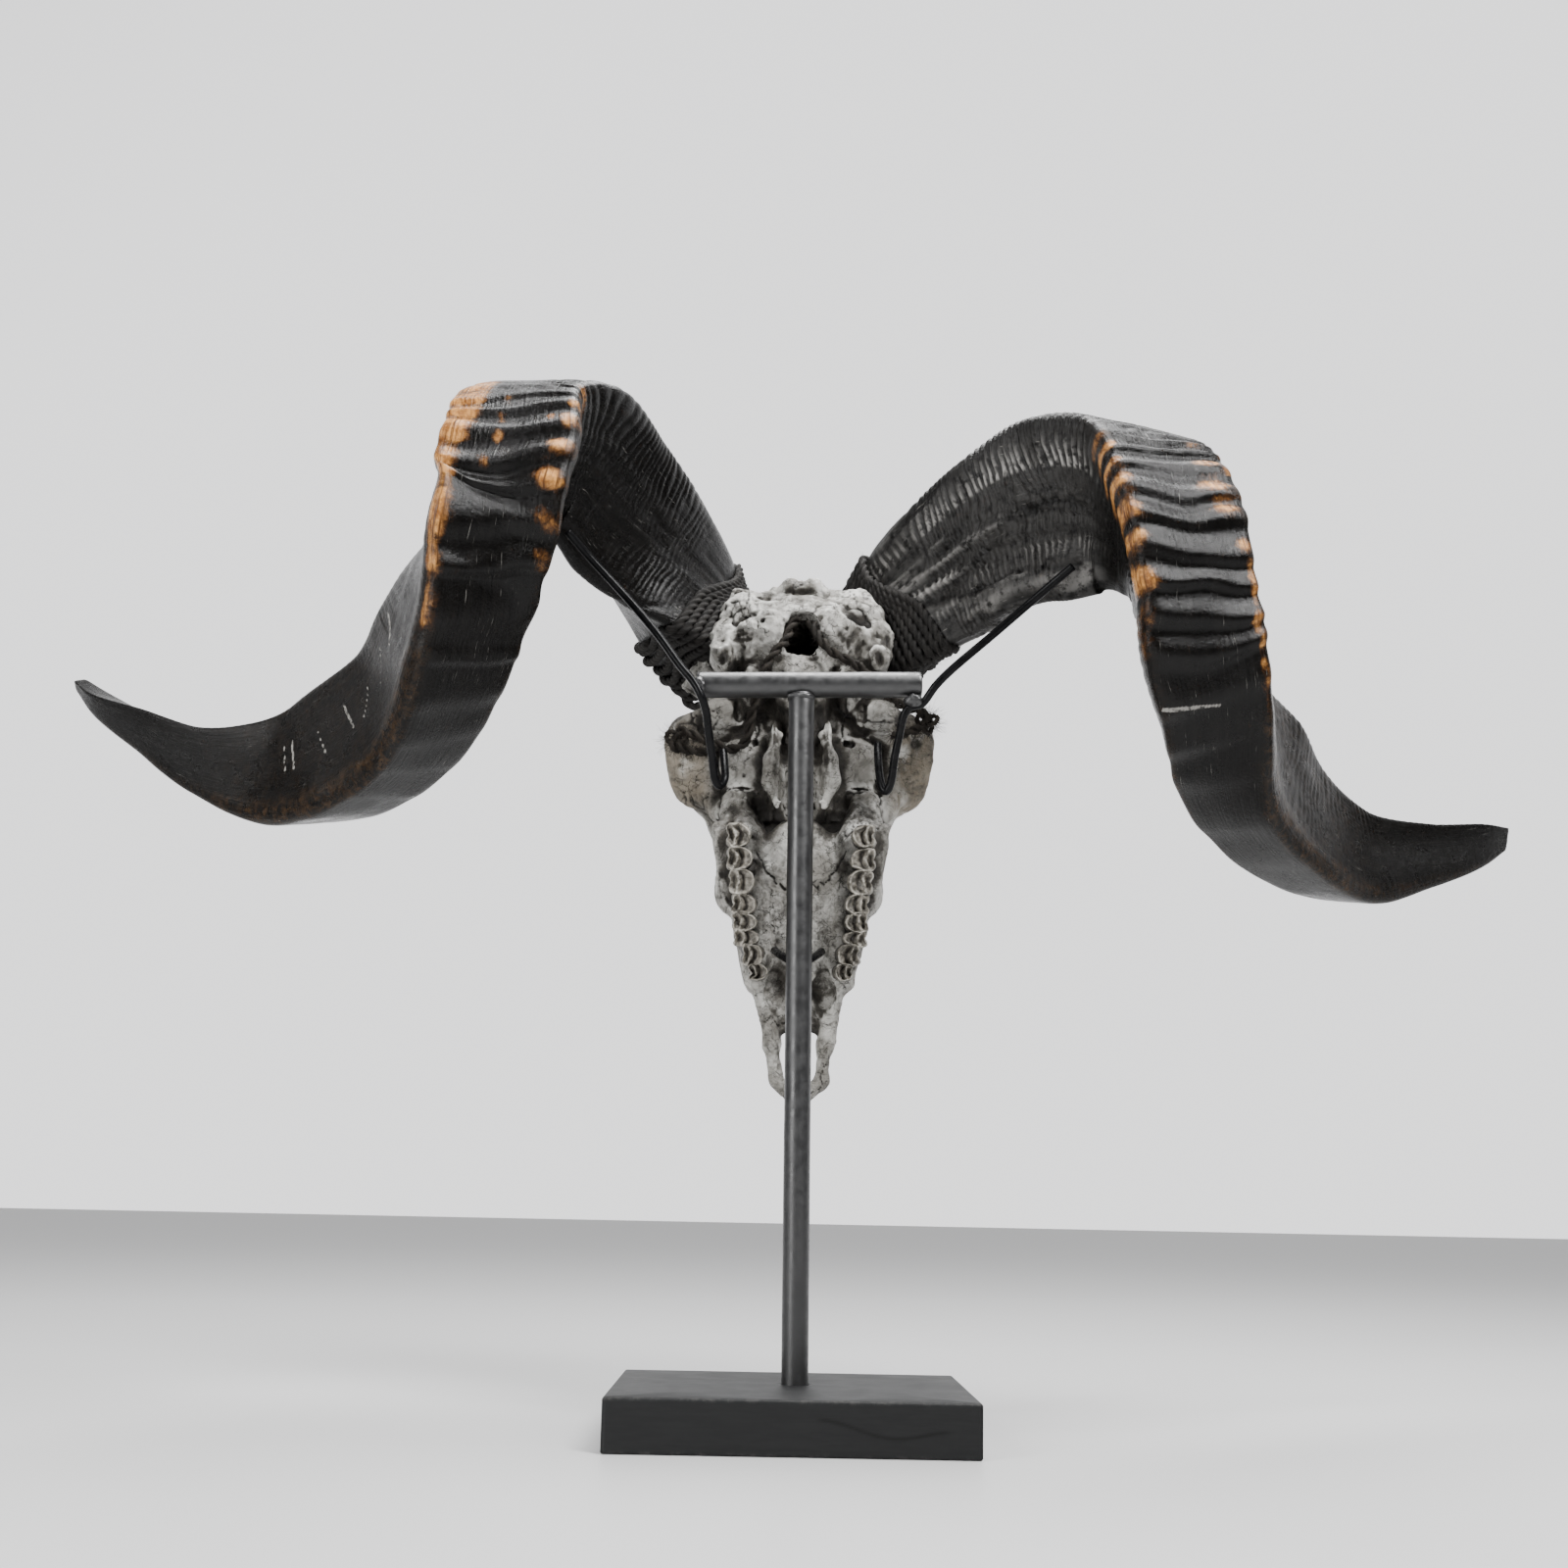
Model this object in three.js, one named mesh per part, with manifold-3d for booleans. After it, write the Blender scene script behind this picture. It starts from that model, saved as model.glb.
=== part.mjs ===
// Ram skull with two curled horns, roped and hooked onto a welded stand.
// Millimetres, +Z up. The origin is the middle of the base's underside.
// The skull hangs nose down with its palate towards the post (-Y) and its forehead along +Y.
import * as THREE from 'three';
import Module from 'manifold-3d';

const wasm = await Module();
wasm.setup();

const GAP = 0.3;                 // air between two pieces that touch
const FAR = 15;                  // value of the bone field well away from the bone

// Stand
const BASE = { width: 168, depth: 115, height: 24.7, chamfer: 0.8 };
const BAR_RADIUS = 6.5;          // post and cross bar are the same round bar
const ROD_RADIUS = 2.1;
const POST_Y = 4.5;
const POST_FOOT = new THREE.Vector3(2.1, POST_Y, 7);
const POST_TOP = new THREE.Vector3(-1, POST_Y, 372.2);
const BAR_LEFT = new THREE.Vector3(-54, POST_Y, 371);
const BAR_RIGHT = new THREE.Vector3(60, POST_Y, 373.8);

const WELD = { topRadius: 7.5, footRadius: 8.7, height: 5, sides: 10, drop: 1.5 };    // bead under the bar

// Skull frame: x to the side, s from the neck hole to the nose, d from the teeth to the forehead
const SKULL_ORIGIN = new THREE.Vector3(-0.8, -3.8, 389.8);
const SKULL_LEAN = THREE.MathUtils.degToRad(10);    // nose away from the post
const SKULL_ROLL = 0.0133;                          // radians, nose towards +X

// Ropes
const WRAP = { width: 33, thickness: 5 };
const TIE_RADIUS = 3.6;

// Number of flat sides around a bar, and around a bent rod or rope, and steps along them
const BAR_SIDES = 20;
const BEND_SIDES = 6;
const ROD_STEPS = 24;
const TIE_STEPS = 18;
const CRADLE_STEPS = 10;

const steelBlack = { color: 0x17181a, roughness: 0.4, metalness: 0.3 };
const paintBlack = { color: 0x1b1c1c, roughness: 0.6, metalness: 0.0 };
const bone = { color: 0xc3bdb0, roughness: 0.75, metalness: 0.0 };
const horn = { color: 0x1d1a18, roughness: 0.35, metalness: 0.0 };
const rope = { color: 0x14110f, roughness: 0.95, metalness: 0.0 };

const model = new THREE.Group();

function addPiece(name, geometry, finish) {
  const piece = new THREE.Mesh(geometry, new THREE.MeshStandardMaterial(finish));
  piece.name = name;
  model.add(piece);
  return piece;
}

// Solids

function toSolid(geometry) {
  const position = geometry.getAttribute('position');
  const index = geometry.getIndex();
  const corners = index ? Array.from(index.array) : Array.from({ length: position.count }, (_, i) => i);
  const numbers = new Map();
  const points = [];
  const shared = corners.map((corner) => {
    const point = [position.getX(corner), position.getY(corner), position.getZ(corner)];
    const key = point.map((value) => Math.round(value * 1e4)).join(' ');
    if (!numbers.has(key)) {
      numbers.set(key, numbers.size);
      points.push(...point);
    }
    return numbers.get(key);
  });
  const triangles = [];
  for (let i = 0; i < shared.length; i += 3) {
    const [a, b, c] = shared.slice(i, i + 3);
    if (a !== b && b !== c && c !== a) triangles.push(a, b, c);
  }
  return new wasm.Manifold(new wasm.Mesh({
    numProp: 3,
    vertProperties: new Float32Array(points),
    triVerts: new Uint32Array(triangles),
  }));
}

function toGeometry(solid) {
  const mesh = solid.getMesh();
  const geometry = new THREE.BufferGeometry();
  geometry.setAttribute('position', new THREE.BufferAttribute(mesh.vertProperties, 3));
  geometry.setIndex(new THREE.BufferAttribute(mesh.triVerts, 1));
  return geometry;
}

function geometryFrom(points, faces) {
  const geometry = new THREE.BufferGeometry();
  geometry.setAttribute('position', new THREE.Float32BufferAttribute(points.flat(), 3));
  geometry.setIndex(faces.flat());
  return geometry;
}

// A closed skin over a row of rings, each a list of points in the same turning sense
function skinRings(rings) {
  const around = rings[0].length;
  const points = rings.flat();
  const faces = [];
  for (let r = 0; r + 1 < rings.length; r += 1) {
    for (let k = 0; k < around; k += 1) {
      const next = (k + 1) % around;
      const a = r * around + k;
      const b = r * around + next;
      const c = (r + 1) * around + next;
      const d = (r + 1) * around + k;
      faces.push([a, b, c], [a, c, d]);
    }
  }
  for (const [ring, flip] of [[0, true], [rings.length - 1, false]]) {
    const middle = rings[ring].reduce((sum, p) => sum.map((v, i) => v + p[i] / around), [0, 0, 0]);
    points.push(middle);
    for (let k = 0; k < around; k += 1) {
      const a = ring * around + k;
      const b = ring * around + ((k + 1) % around);
      faces.push(flip ? [points.length - 1, b, a] : [points.length - 1, a, b]);
    }
  }
  return geometryFrom(points, faces);
}

function tubeAlong(points, radius, steps) {
  const route = new THREE.CatmullRomCurve3(points.map((p) => new THREE.Vector3(...p)), false, 'centripetal');
  const circle = new THREE.Shape();
  for (let k = 0; k < BEND_SIDES; k += 1) {
    const angle = (k / BEND_SIDES) * Math.PI * 2;
    const corner = [radius * Math.cos(angle), radius * Math.sin(angle)];
    if (k === 0) circle.moveTo(...corner);
    else circle.lineTo(...corner);
  }
  circle.closePath();
  return new THREE.ExtrudeGeometry(circle, { steps, extrudePath: route, bevelEnabled: false });
}

// Cuts a piece back by its neighbour, moved by the gap to each side in turn
function keepClear(piece, neighbour) {
  let rest = piece;
  const steps = [[0, 0, 0], [1, 0, 0], [-1, 0, 0], [0, 1, 0], [0, -1, 0], [0, 0, 1], [0, 0, -1]];
  for (const step of steps) {
    const moved = toGeometry(neighbour).translate(...step.map((value) => value * 1.5 * GAP));
    rest = rest.subtract(toSolid(moved));
  }
  return rest;
}

function cylinderBetween(from, to, radius) {
  const geometry = new THREE.CylinderGeometry(radius, radius, from.distanceTo(to), BAR_SIDES);
  const turn = new THREE.Quaternion().setFromUnitVectors(
    new THREE.Vector3(0, 1, 0), to.clone().sub(from).normalize());
  geometry.applyQuaternion(turn);
  geometry.translate(...from.clone().add(to).multiplyScalar(0.5).toArray());
  return geometry;
}

// Bone field. Each entry is added to the bone, or cut from it, on both sides of x = 0.
// ball: centre, radii, turn in degrees from s towards d, blend
// rod: from, to, radius there and there, blend.  stub: the same with a flat far end
// ring: centre, direction of its hole, radius of the ring, radius of the rim, blend

const BONE = [
  // braincase, nuchal plate and the bony cores that carry the horns
  ['ball', [0, 4, 78], [36, 44, 37], 0, 10],
  ['ball', [0, -14, 62], [42, 24, 24], -40, 8],
  ['ball', [0, 22, 90], [46, 42, 25], -10, 10],
  ['stub', [18, 6, 96], [51, -16, 92], 29, 28, 8],
  ['rod', [8, -40, 68], [29, -36, 66], 5, 6, 5],
  ['ball', [5.5, -43, 68], [4.5, 5, 7], 0, 3],
  ['ball', [30, -37, 64], [6, 5, 6], 0, 3],
  ['rod', [36, -30, 62], [45, -12, 52], 6, 6, 6],
  ['ball', [38, -8, 54], [12, 18, 12], 0, 6],
  ['rod', [42, -6, 54], [42.5, 0, 37], 9, 6.5, 5],
  ['ball', [18, -16, 44], [8, 11, 8], 0, 4],
  ['ball', [30, -8, 48], [13, 17, 9], 0, 6],
  ['ball', [0, 6, 43], [15, 12, 10], 0, 5],
  // skull base: basioccipital, ear bulla, jaw joint and pterygoid blades
  ['ball', [0, 26, 47], [14, 34, 10], -4, 6],
  ['ball', [9, 19, 39], [5, 8, 5], 0, 4],
  ['ball', [26, 15, 45], [8, 12, 9], 0, 4],
  ['ball', [40, 28, 47], [14, 10, 8], 0, 5],
  ['ball', [16, 52, 54], [22, 26, 12], 0, 6],
  ['ball', [13, 60, 37], [3, 26, 16], 0, 3],
  ['rod', [12, 72, 27], [10.5, 86, 20], 2.6, 2, 2],
  ['ball', [29, 58, 44], [14, 15, 9], 0, 5],
  ['ball', [31, 80, 28], [10, 14, 14], 0, 5],
  // cheek arch and eye socket
  ['rod', [48, 27, 54], [62, 33, 60], 6.5, 5.5, 4],
  ['ball', [52, 56, 66], [19, 24, 13], -12, 6],
  ['rod', [52, 66, 60], [43, 80, 46], 8, 7, 6],
  ['ring', [57, 52, 80], [0.86, 0.2, 0.46], 23, 5, 4],
  ['rod', [28, 40, 98], [50, 46, 100], 12, 8, 8],
  ['ball', [34, 80, 74], [18, 22, 20], 0, 8],
  // face: forehead to nose bones, cheeks, tooth sockets and palate
  ['rod', [9, 55, 88], [10, 112, 76], 15, 12, 8],
  ['rod', [10, 112, 76], [7, 172, 52], 12, 7, 8],
  ['rod', [18, 72, 62], [14, 124, 52], 24, 20, 10],
  ['rod', [14, 124, 52], [14, 162, 38], 20, 12, 10],
  ['rod', [32, 91, 25], [21.5, 169, 21], 13, 8, 8],
  ['ball', [37.5, 123, 28], [7, 12, 8], 0, 6],
  ['ball', [0, 130, 26], [26, 46, 9], 0, 6],
  ['ball', [0, 182, 26], [17, 20, 5], 0, 5],
  // nose end of the upper jaw
  ['rod', [19.5, 165, 26], [14, 205, 20], 6.5, 4.2, 5],
  ['rod', [14, 205, 20], [11.5, 222, 18], 4.2, 4, 4],
  ['rod', [11.5, 222, 18], [2, 230, 17], 4.2, 5, 4],
  ['rod', [15, 202, 23], [17, 165, 46], 3.4, 5, 5],
];
const HOLLOW = [
  // neck hole and braincase
  ['ball', [0, -12.5, 44], [11.2, 12, 15], -45, 1.2],
  ['ball', [0, 0, 66], [22, 28, 22], 0, 3],
  // eye sockets
  ['ball', [64, 54, 84], [19, 20, 19], 0, 3],
  ['ball', [50, 50, 80], [18, 18, 14], 0, 5],
  ['ball', [42, 36, 68], [11, 9, 20], 0, 4],
  // inner nostrils, gaps beside them, palate vault and nose
  ['ball', [0, 68, 34], [9.5, 24, 14], 0, 3],
  ['ball', [20, 84, 23], [4.5, 13, 10], 0, 3],
  ['ball', [0, 128, 12], [18, 44, 5], 0, 4],
  ['rod', [0, 130, 42], [0, 235, 34], 9, 15, 3],
  ['rod', [0, 202, 20], [0, 218, 18], 6.5, 7.5, 3],
  ['ball', [13, 179, 19], [7, 12, 5], 0, 3],
];

const clamp01 = (value) => Math.min(1, Math.max(0, value));

const distanceTo = {
  ball([x, s, d], [, centre, radii, turn]) {
    const angle = THREE.MathUtils.degToRad(turn);
    const along = s - centre[1];
    const above = d - centre[2];
    const offset = [
      x - centre[0],
      along * Math.cos(angle) + above * Math.sin(angle),
      above * Math.cos(angle) - along * Math.sin(angle),
    ];
    const near = Math.hypot(...offset.map((value, i) => value / radii[i]));
    const steep = Math.hypot(...offset.map((value, i) => value / radii[i] ** 2)) + 1e-9;
    return (near * (near - 1)) / steep;
  },
  rod(point, [, from, to, fromRadius, toRadius]) {
    const axis = to.map((value, i) => value - from[i]);
    const offset = point.map((value, i) => value - from[i]);
    const share = clamp01(dot(offset, axis) / dot(axis, axis));
    return Math.hypot(...offset.map((value, i) => value - share * axis[i]))
      - (fromRadius + (toRadius - fromRadius) * share);
  },
  stub(point, entry) {
    const [, from, to] = entry;
    const axis = to.map((value, i) => value - from[i]);
    const past = dot(point.map((value, i) => value - to[i]), axis) / Math.hypot(...axis);
    return Math.max(distanceTo.rod(point, entry), past);
  },
  ring(point, [, centre, direction, radius, rim]) {
    const length = Math.hypot(...direction);
    const offset = point.map((value, i) => value - centre[i]);
    const height = dot(offset, direction) / length;
    const flat = Math.sqrt(Math.max(0, dot(offset, offset) - height * height));
    return Math.hypot(flat - radius, height) - rim;
  },
};

function dot(a, b) {
  return a[0] * b[0] + a[1] * b[1] + a[2] * b[2];
}

// Distance to the bone surface, less than 0 inside it
function boneField(x, s, d) {
  const point = [Math.abs(x), s, d];
  let field = FAR;
  for (const [table, sign] of [[BONE, 1], [HOLLOW, -1]]) {
    for (const entry of table) {
      const blend = entry.at(-1);
      const other = distanceTo[entry[0]](point, entry);
      const overlap = Math.max(blend - Math.abs(field - sign * other), 0) / blend;
      const rounding = (overlap * overlap * blend) / 4;
      field = sign > 0 ? Math.min(field, other) - rounding : Math.max(field, -other) + rounding;
    }
  }
  return field;
}

// Skin of a field on a grid of samples. Each crossed cell gets one point, each crossed edge one face.

function samples(from, to, step) {
  const count = Math.ceil((to - from) / step);
  return Array.from({ length: count + 1 }, (_, i) => from + i * step);
}

function skinField(field, grid) {
  const size = grid.map((axis) => axis.length);
  const at = (i, j, k) => (i * size[1] + j) * size[2] + k;
  const value = new Float64Array(size[0] * size[1] * size[2]);
  for (let i = 0; i < size[0]; i += 1) {
    for (let j = 0; j < size[1]; j += 1) {
      for (let k = 0; k < size[2]; k += 1) value[at(i, j, k)] = field(grid[0][i], grid[1][j], grid[2][k]);
    }
  }
  fillTouchingCorners(value, size, at);

  const cellPoint = new Map();
  const points = [];
  const corners = [0, 1, 2, 3, 4, 5, 6, 7].map((n) => [n >> 2, (n >> 1) & 1, n & 1]);
  const edges = [];
  corners.forEach((a, m) => corners.forEach((b, n) => {
    const stepsApart = Math.abs(a[0] - b[0]) + Math.abs(a[1] - b[1]) + Math.abs(a[2] - b[2]);
    if (m < n && stepsApart === 1) edges.push([a, b]);
  }));
  function pointOf(i, j, k) {
    const key = at(i, j, k);
    if (cellPoint.has(key)) return cellPoint.get(key);
    const sum = [0, 0, 0];
    let crossings = 0;
    for (const [a, b] of edges) {
      const fa = value[at(i + a[0], j + a[1], k + a[2])];
      const fb = value[at(i + b[0], j + b[1], k + b[2])];
      if ((fa < 0) === (fb < 0)) continue;
      const share = fa / (fa - fb);
      const pa = [grid[0][i + a[0]], grid[1][j + a[1]], grid[2][k + a[2]]];
      const pb = [grid[0][i + b[0]], grid[1][j + b[1]], grid[2][k + b[2]]];
      pa.forEach((start, n) => { sum[n] += start + share * (pb[n] - start); });
      crossings += 1;
    }
    const reach = [grid[0][i + 1] - grid[0][i], grid[1][j + 1] - grid[1][j], grid[2][k + 1] - grid[2][k]];
    points.push(settle(field, sum.map((total) => total / crossings), reach));
    cellPoint.set(key, points.length - 1);
    return points.length - 1;
  }

  const faces = [];
  const step = [[1, 0, 0], [0, 1, 0], [0, 0, 1]];
  for (let axis = 0; axis < 3; axis += 1) {
    const u = step[(axis + 1) % 3];
    const v = step[(axis + 2) % 3];
    const w = step[axis];
    for (let i = 1; i < size[0] - 1; i += 1) {
      for (let j = 1; j < size[1] - 1; j += 1) {
        for (let k = 1; k < size[2] - 1; k += 1) {
          const here = value[at(i, j, k)] < 0;
          const there = value[at(i + w[0], j + w[1], k + w[2])] < 0;
          if (here === there) continue;
          const quad = [[1, 1], [0, 1], [0, 0], [1, 0]].map(([m, n]) => pointOf(
            i - m * u[0] - n * v[0], j - m * u[1] - n * v[1], k - m * u[2] - n * v[2]));
          if (there) quad.reverse();
          faces.push(...splitQuad(points, quad));
        }
      }
    }
  }
  return [points, faces];
}

// Where two inside samples meet only across a corner, the sample between them is filled in
function fillTouchingCorners(value, size, at) {
  const filled = -0.05;
  const pairs = [[[0, 1, 0], [0, 0, 1]], [[1, 0, 0], [0, 0, 1]], [[1, 0, 0], [0, 1, 0]]];
  const diagonals = [[1, 1, 1], [-1, 1, 1], [1, -1, 1], [1, 1, -1]];
  let changed = true;
  while (changed) {
    changed = false;
    for (let i = 1; i < size[0] - 1; i += 1) {
      for (let j = 1; j < size[1] - 1; j += 1) {
        for (let k = 1; k < size[2] - 1; k += 1) {
          const inside = (a, b, c) => value[at(i + a, j + b, k + c)] < 0;
          for (const [u, v] of pairs) {
            const both = u.map((n, axis) => n + v[axis]);
            const square = [inside(0, 0, 0), inside(...u), inside(...both), inside(...v)];
            if (square[0] === square[2] && square[1] === square[3] && square[0] !== square[1]) {
              if (square[0]) value[at(i + u[0], j + u[1], k + u[2])] = filled;
              else value[at(i, j, k)] = filled;
              changed = true;
            }
          }
          for (const [a, b, c] of diagonals) {
            const here = inside(0, 0, 0);
            if (here !== inside(a, b, c)) continue;
            const others = [inside(a, 0, 0), inside(0, b, 0), inside(0, 0, c), inside(a, b, 0),
              inside(a, 0, c), inside(0, b, c)];
            if (others.some((other) => other === here)) continue;
            value[here ? at(i + a, j, k) : at(i, j, k)] = filled;
            changed = true;
          }
        }
      }
    }
  }
}

// Moves a point of the skin a little way along the field's slope onto the surface itself
function settle(field, point, reach) {
  const nudge = 0.4;
  const moved = [...point];
  for (let round = 0; round < 3; round += 1) {
    const height = field(...moved);
    const slope = moved.map((_, n) => {
      const ahead = [...moved];
      ahead[n] += nudge;
      return (field(...ahead) - height) / nudge;
    });
    const steep = dot(slope, slope);
    if (steep < 0.1) break;
    moved.forEach((value, n) => {
      const limit = 0.35 * reach[n];
      const target = value - (height * slope[n]) / steep;
      moved[n] = Math.min(point[n] + limit, Math.max(point[n] - limit, target));
    });
  }
  return moved;
}

function splitQuad(points, [a, b, c, d]) {
  const length = (m, n) => Math.hypot(...points[m].map((value, i) => value - points[n][i]));
  return length(a, c) <= length(b, d) ? [[a, b, c], [a, c, d]] : [[a, b, d], [b, c, d]];
}

// Skull

const skullFrame = new THREE.Matrix4();
{
  const side = new THREE.Vector3(Math.cos(SKULL_ROLL), 0, Math.sin(SKULL_ROLL));
  const along = new THREE.Vector3(
    Math.cos(SKULL_LEAN) * Math.sin(SKULL_ROLL),
    Math.sin(SKULL_LEAN),
    -Math.cos(SKULL_LEAN) * Math.cos(SKULL_ROLL));
  const above = new THREE.Vector3().crossVectors(side, along);
  skullFrame.makeBasis(side, along, above).setPosition(SKULL_ORIGIN);
}

// One cusp of a cheek tooth: place in the skull frame, length along the row, width, height
const TOOTH_LOBES = [
  [32, 96, 12, 12.5], [31.6, 108.5, 11.5, 13], [30.2, 119.8, 11, 12.5], [28.9, 129.8, 9.6, 12.5],
  [28.6, 138.7, 8.6, 12], [27.6, 146.4, 7.4, 11.6], [24.8, 155.2, 9.6, 10.6], [22, 164.3, 6.4, 7.6],
];
const TOOTH_HEIGHT = 16;

function toothLobe(side, [x, s, length, width]) {
  const lobe = new THREE.CylinderGeometry(0.5, 0.56, TOOTH_HEIGHT, 7);
  lobe.rotateX(-Math.PI / 2);
  lobe.scale(width, length, 1);
  lobe.translate(side * x, s, 1 + TOOTH_HEIGHT / 2);
  return lobe;
}

function skullSolid() {
  const alongSkull = [...samples(-66, 98, 8.2), ...samples(109, 253, 12)];
  const grid = [samples(-93.5, 93.5, 8.5), alongSkull, samples(-6, 138, 8.2)];
  const [points, faces] = skinField(boneField, grid);
  return toSolid(geometryFrom(points, faces).applyMatrix4(skullFrame));
}

// Horns. Each station: middle of the horn x y z, width of the front face, depth, and the turn of
// the section in degrees

const HORNS = {
  left: {
    curlFrom: [0, 18, 408],
    curlTo: [-400, 18, 380],
    stations: [
      [-42, 94, 422, 64, 72, 1], [-59, 80, 433, 72, 78, 0], [-87, 53, 456, 75, 81, -2],
      [-110, 18, 474, 73, 82, -4], [-124, -14, 485, 68, 76, -4], [-137, -38, 474, 65, 72, 1],
      [-142, -52, 451, 66, 72, -10], [-151, -54, 430, 66, 75, -29], [-164, -53, 410, 62, 77, -49],
      [-182, -38, 372, 55, 78, -48], [-203, -10, 346, 49, 73, -34], [-240, 17, 330, 47, 70, -11],
      [-276, 41, 328, 38, 55, 2], [-319, 58, 340, 28, 35, 4], [-357, 70, 361, 23, 28, 3],
      [-387, 78, 377, 17, 19, 1], [-402, 82, 389, 9, 7, 0],
    ],
    tipRounding: 3,
  },
  right: {
    curlFrom: [0, 18, 405],
    curlTo: [400, 18, 360],
    stations: [
      [45, 93, 425, 62, 70, 15], [61, 79, 435, 71, 79, 13], [88, 54, 453, 75, 86, 8],
      [113, 24, 463, 77, 88, -6], [135, -5, 466, 76, 88, -7], [154, -32, 459, 69, 82, -7],
      [165, -49, 440, 62, 74, -2], [170, -57, 420, 59, 75, -2], [174, -56, 399, 58, 80, -2],
      [183, -48, 376, 59, 87, 8], [205, -32, 351, 54, 85, 21], [229, -10, 323, 48, 76, 25],
      [257, 14, 304, 42, 63, 7], [293, 39, 294, 34, 50, -4], [336, 59, 302, 23, 34, -8],
      [372, 74, 313, 19, 25, -4], [392, 83, 320, 12, 13, -2],
    ],
    tipRounding: 0,
  },
};
const HORN_START = 0.3;          // station where the horn sheath begins, under the rope
const FRONT_SHARE = 0.42;        // share of the depth between the middle and the front face
const CORNER_POWER = 5;          // higher is a sharper triangle
const HORN_SIDES = 10;
const HORN_STEP = 9.5;           // between rings, raised and lowered by turns as ridges
const RIDGE_HEIGHT = 1.3;

function stationAt(stations, u) {
  const last = stations.length - 1;
  const n = Math.min(Math.floor(u), last - 1);
  const t = u - n;
  const pick = (i) => {
    if (i < 0) return stations[0].map((value, k) => 2 * value - stations[1][k]);
    if (i > last) return stations[last].map((value, k) => 2 * value - stations[last - 1][k]);
    return stations[i];
  };
  const [a, b, c, d] = [pick(n - 1), pick(n), pick(n + 1), pick(n + 2)];
  return b.map((value, k) => 0.5 * (2 * value + (c[k] - a[k]) * t
    + (2 * a[k] - 5 * value + 4 * c[k] - d[k]) * t * t
    + (3 * value - a[k] - 3 * c[k] + d[k]) * t * t * t));
}

// Frame of the horn at a station: middle, direction, side and the way to the middle of the curl
function hornFrame(shape, u) {
  const last = shape.stations.length - 1;
  const place = (v) => new THREE.Vector3(...stationAt(shape.stations, Math.min(last - 1e-6, Math.max(0, v))));
  const middle = place(u);
  const ahead = place(u + 0.05).sub(place(u - 0.05)).normalize();
  const start = new THREE.Vector3(...shape.curlFrom);
  const axis = new THREE.Vector3(...shape.curlTo).sub(start).normalize();
  const nearest = start.clone().addScaledVector(axis, middle.clone().sub(start).dot(axis));
  const inward = nearest.sub(middle);
  inward.addScaledVector(ahead, -inward.dot(ahead)).normalize();
  const [, , , width, depth, turn] = stationAt(shape.stations, Math.min(last - 1e-6, u));
  inward.applyAxisAngle(ahead, THREE.MathUtils.degToRad(turn));
  const sideways = new THREE.Vector3().crossVectors(inward, ahead);
  return { middle, ahead, sideways, inward, width, depth };
}

// Rounded triangle: flat front face on the outside of the curl, blunt edge on the inside
function hornRing(frame, sides, grow, shift = 0) {
  const front = FRONT_SHARE * frame.depth + grow;
  const back = (1 - FRONT_SHARE) * frame.depth;
  const swell = 2 ** (1 / CORNER_POWER) * 0.97;
  const half = (frame.width / 2) * swell;
  const top = back * swell;
  const slant = Math.hypot(top + front - grow, half);
  const flank = (half * top) / slant + grow;
  const normal = [(top + front - grow) / slant, half / slant];
  return Array.from({ length: sides }, (_, k) => {
    const angle = (k / sides) * Math.PI * 2 - Math.PI / 2;
    const c = Math.cos(angle);
    const s = Math.sin(angle);
    const sum = Math.max(-s / front, 0) ** CORNER_POWER
      + Math.max((c * normal[0] + s * normal[1]) / flank, 0) ** CORNER_POWER
      + Math.max((-c * normal[0] + s * normal[1]) / flank, 0) ** CORNER_POWER;
    const reach = sum ** (-1 / CORNER_POWER);
    return frame.middle.clone()
      .addScaledVector(frame.ahead, shift)
      .addScaledVector(frame.sideways, reach * c)
      .addScaledVector(frame.inward, reach * s)
      .toArray();
  });
}

// Station numbers spaced evenly along the horn's length
function evenStations(shape, from, spacing) {
  const fine = 400;
  const last = shape.stations.length - 1 - 1e-6;
  const marks = [from];
  let travelled = 0;
  let previous = new THREE.Vector3(...stationAt(shape.stations, from));
  for (let i = 1; i <= fine; i += 1) {
    const u = from + ((last - from) * i) / fine;
    const here = new THREE.Vector3(...stationAt(shape.stations, u));
    travelled += here.distanceTo(previous);
    previous = here;
    if (travelled >= spacing * marks.length) marks.push(u);
  }
  return [...marks, last];
}

function hornGeometry(shape) {
  const marks = evenStations(shape, HORN_START, HORN_STEP);
  const rings = marks.map((u, i) => {
    const frame = hornFrame(shape, u);
    const fade = Math.min(1, frame.width / 50);
    return hornRing(frame, HORN_SIDES, (i % 2 ? 1 : -1) * 0.5 * RIDGE_HEIGHT * fade);
  });
  if (shape.tipRounding > 0) {
    const tip = hornFrame(shape, shape.stations.length - 1);
    tip.width *= 0.55;
    tip.depth *= 0.55;
    rings.push(hornRing(tip, HORN_SIDES, 0, shape.tipRounding));
  }
  return skinRings(rings);
}

// The rope wound around the start of a horn, as one band
const WRAP_STOPS = [[0, 0.7], [0.5, 1], [1, 0.7]];      // share of its width, share of its thickness

function rootRing(shape, distance, grow) {
  const frame = hornFrame(shape, HORN_START);
  const reach = hornFrame(shape, HORN_START + 1).middle.distanceTo(frame.middle);
  const u = HORN_START + Math.max(0, distance) / reach;
  return hornRing(hornFrame(shape, u), HORN_SIDES, RIDGE_HEIGHT / 2 + grow, Math.min(0, distance));
}

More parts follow.
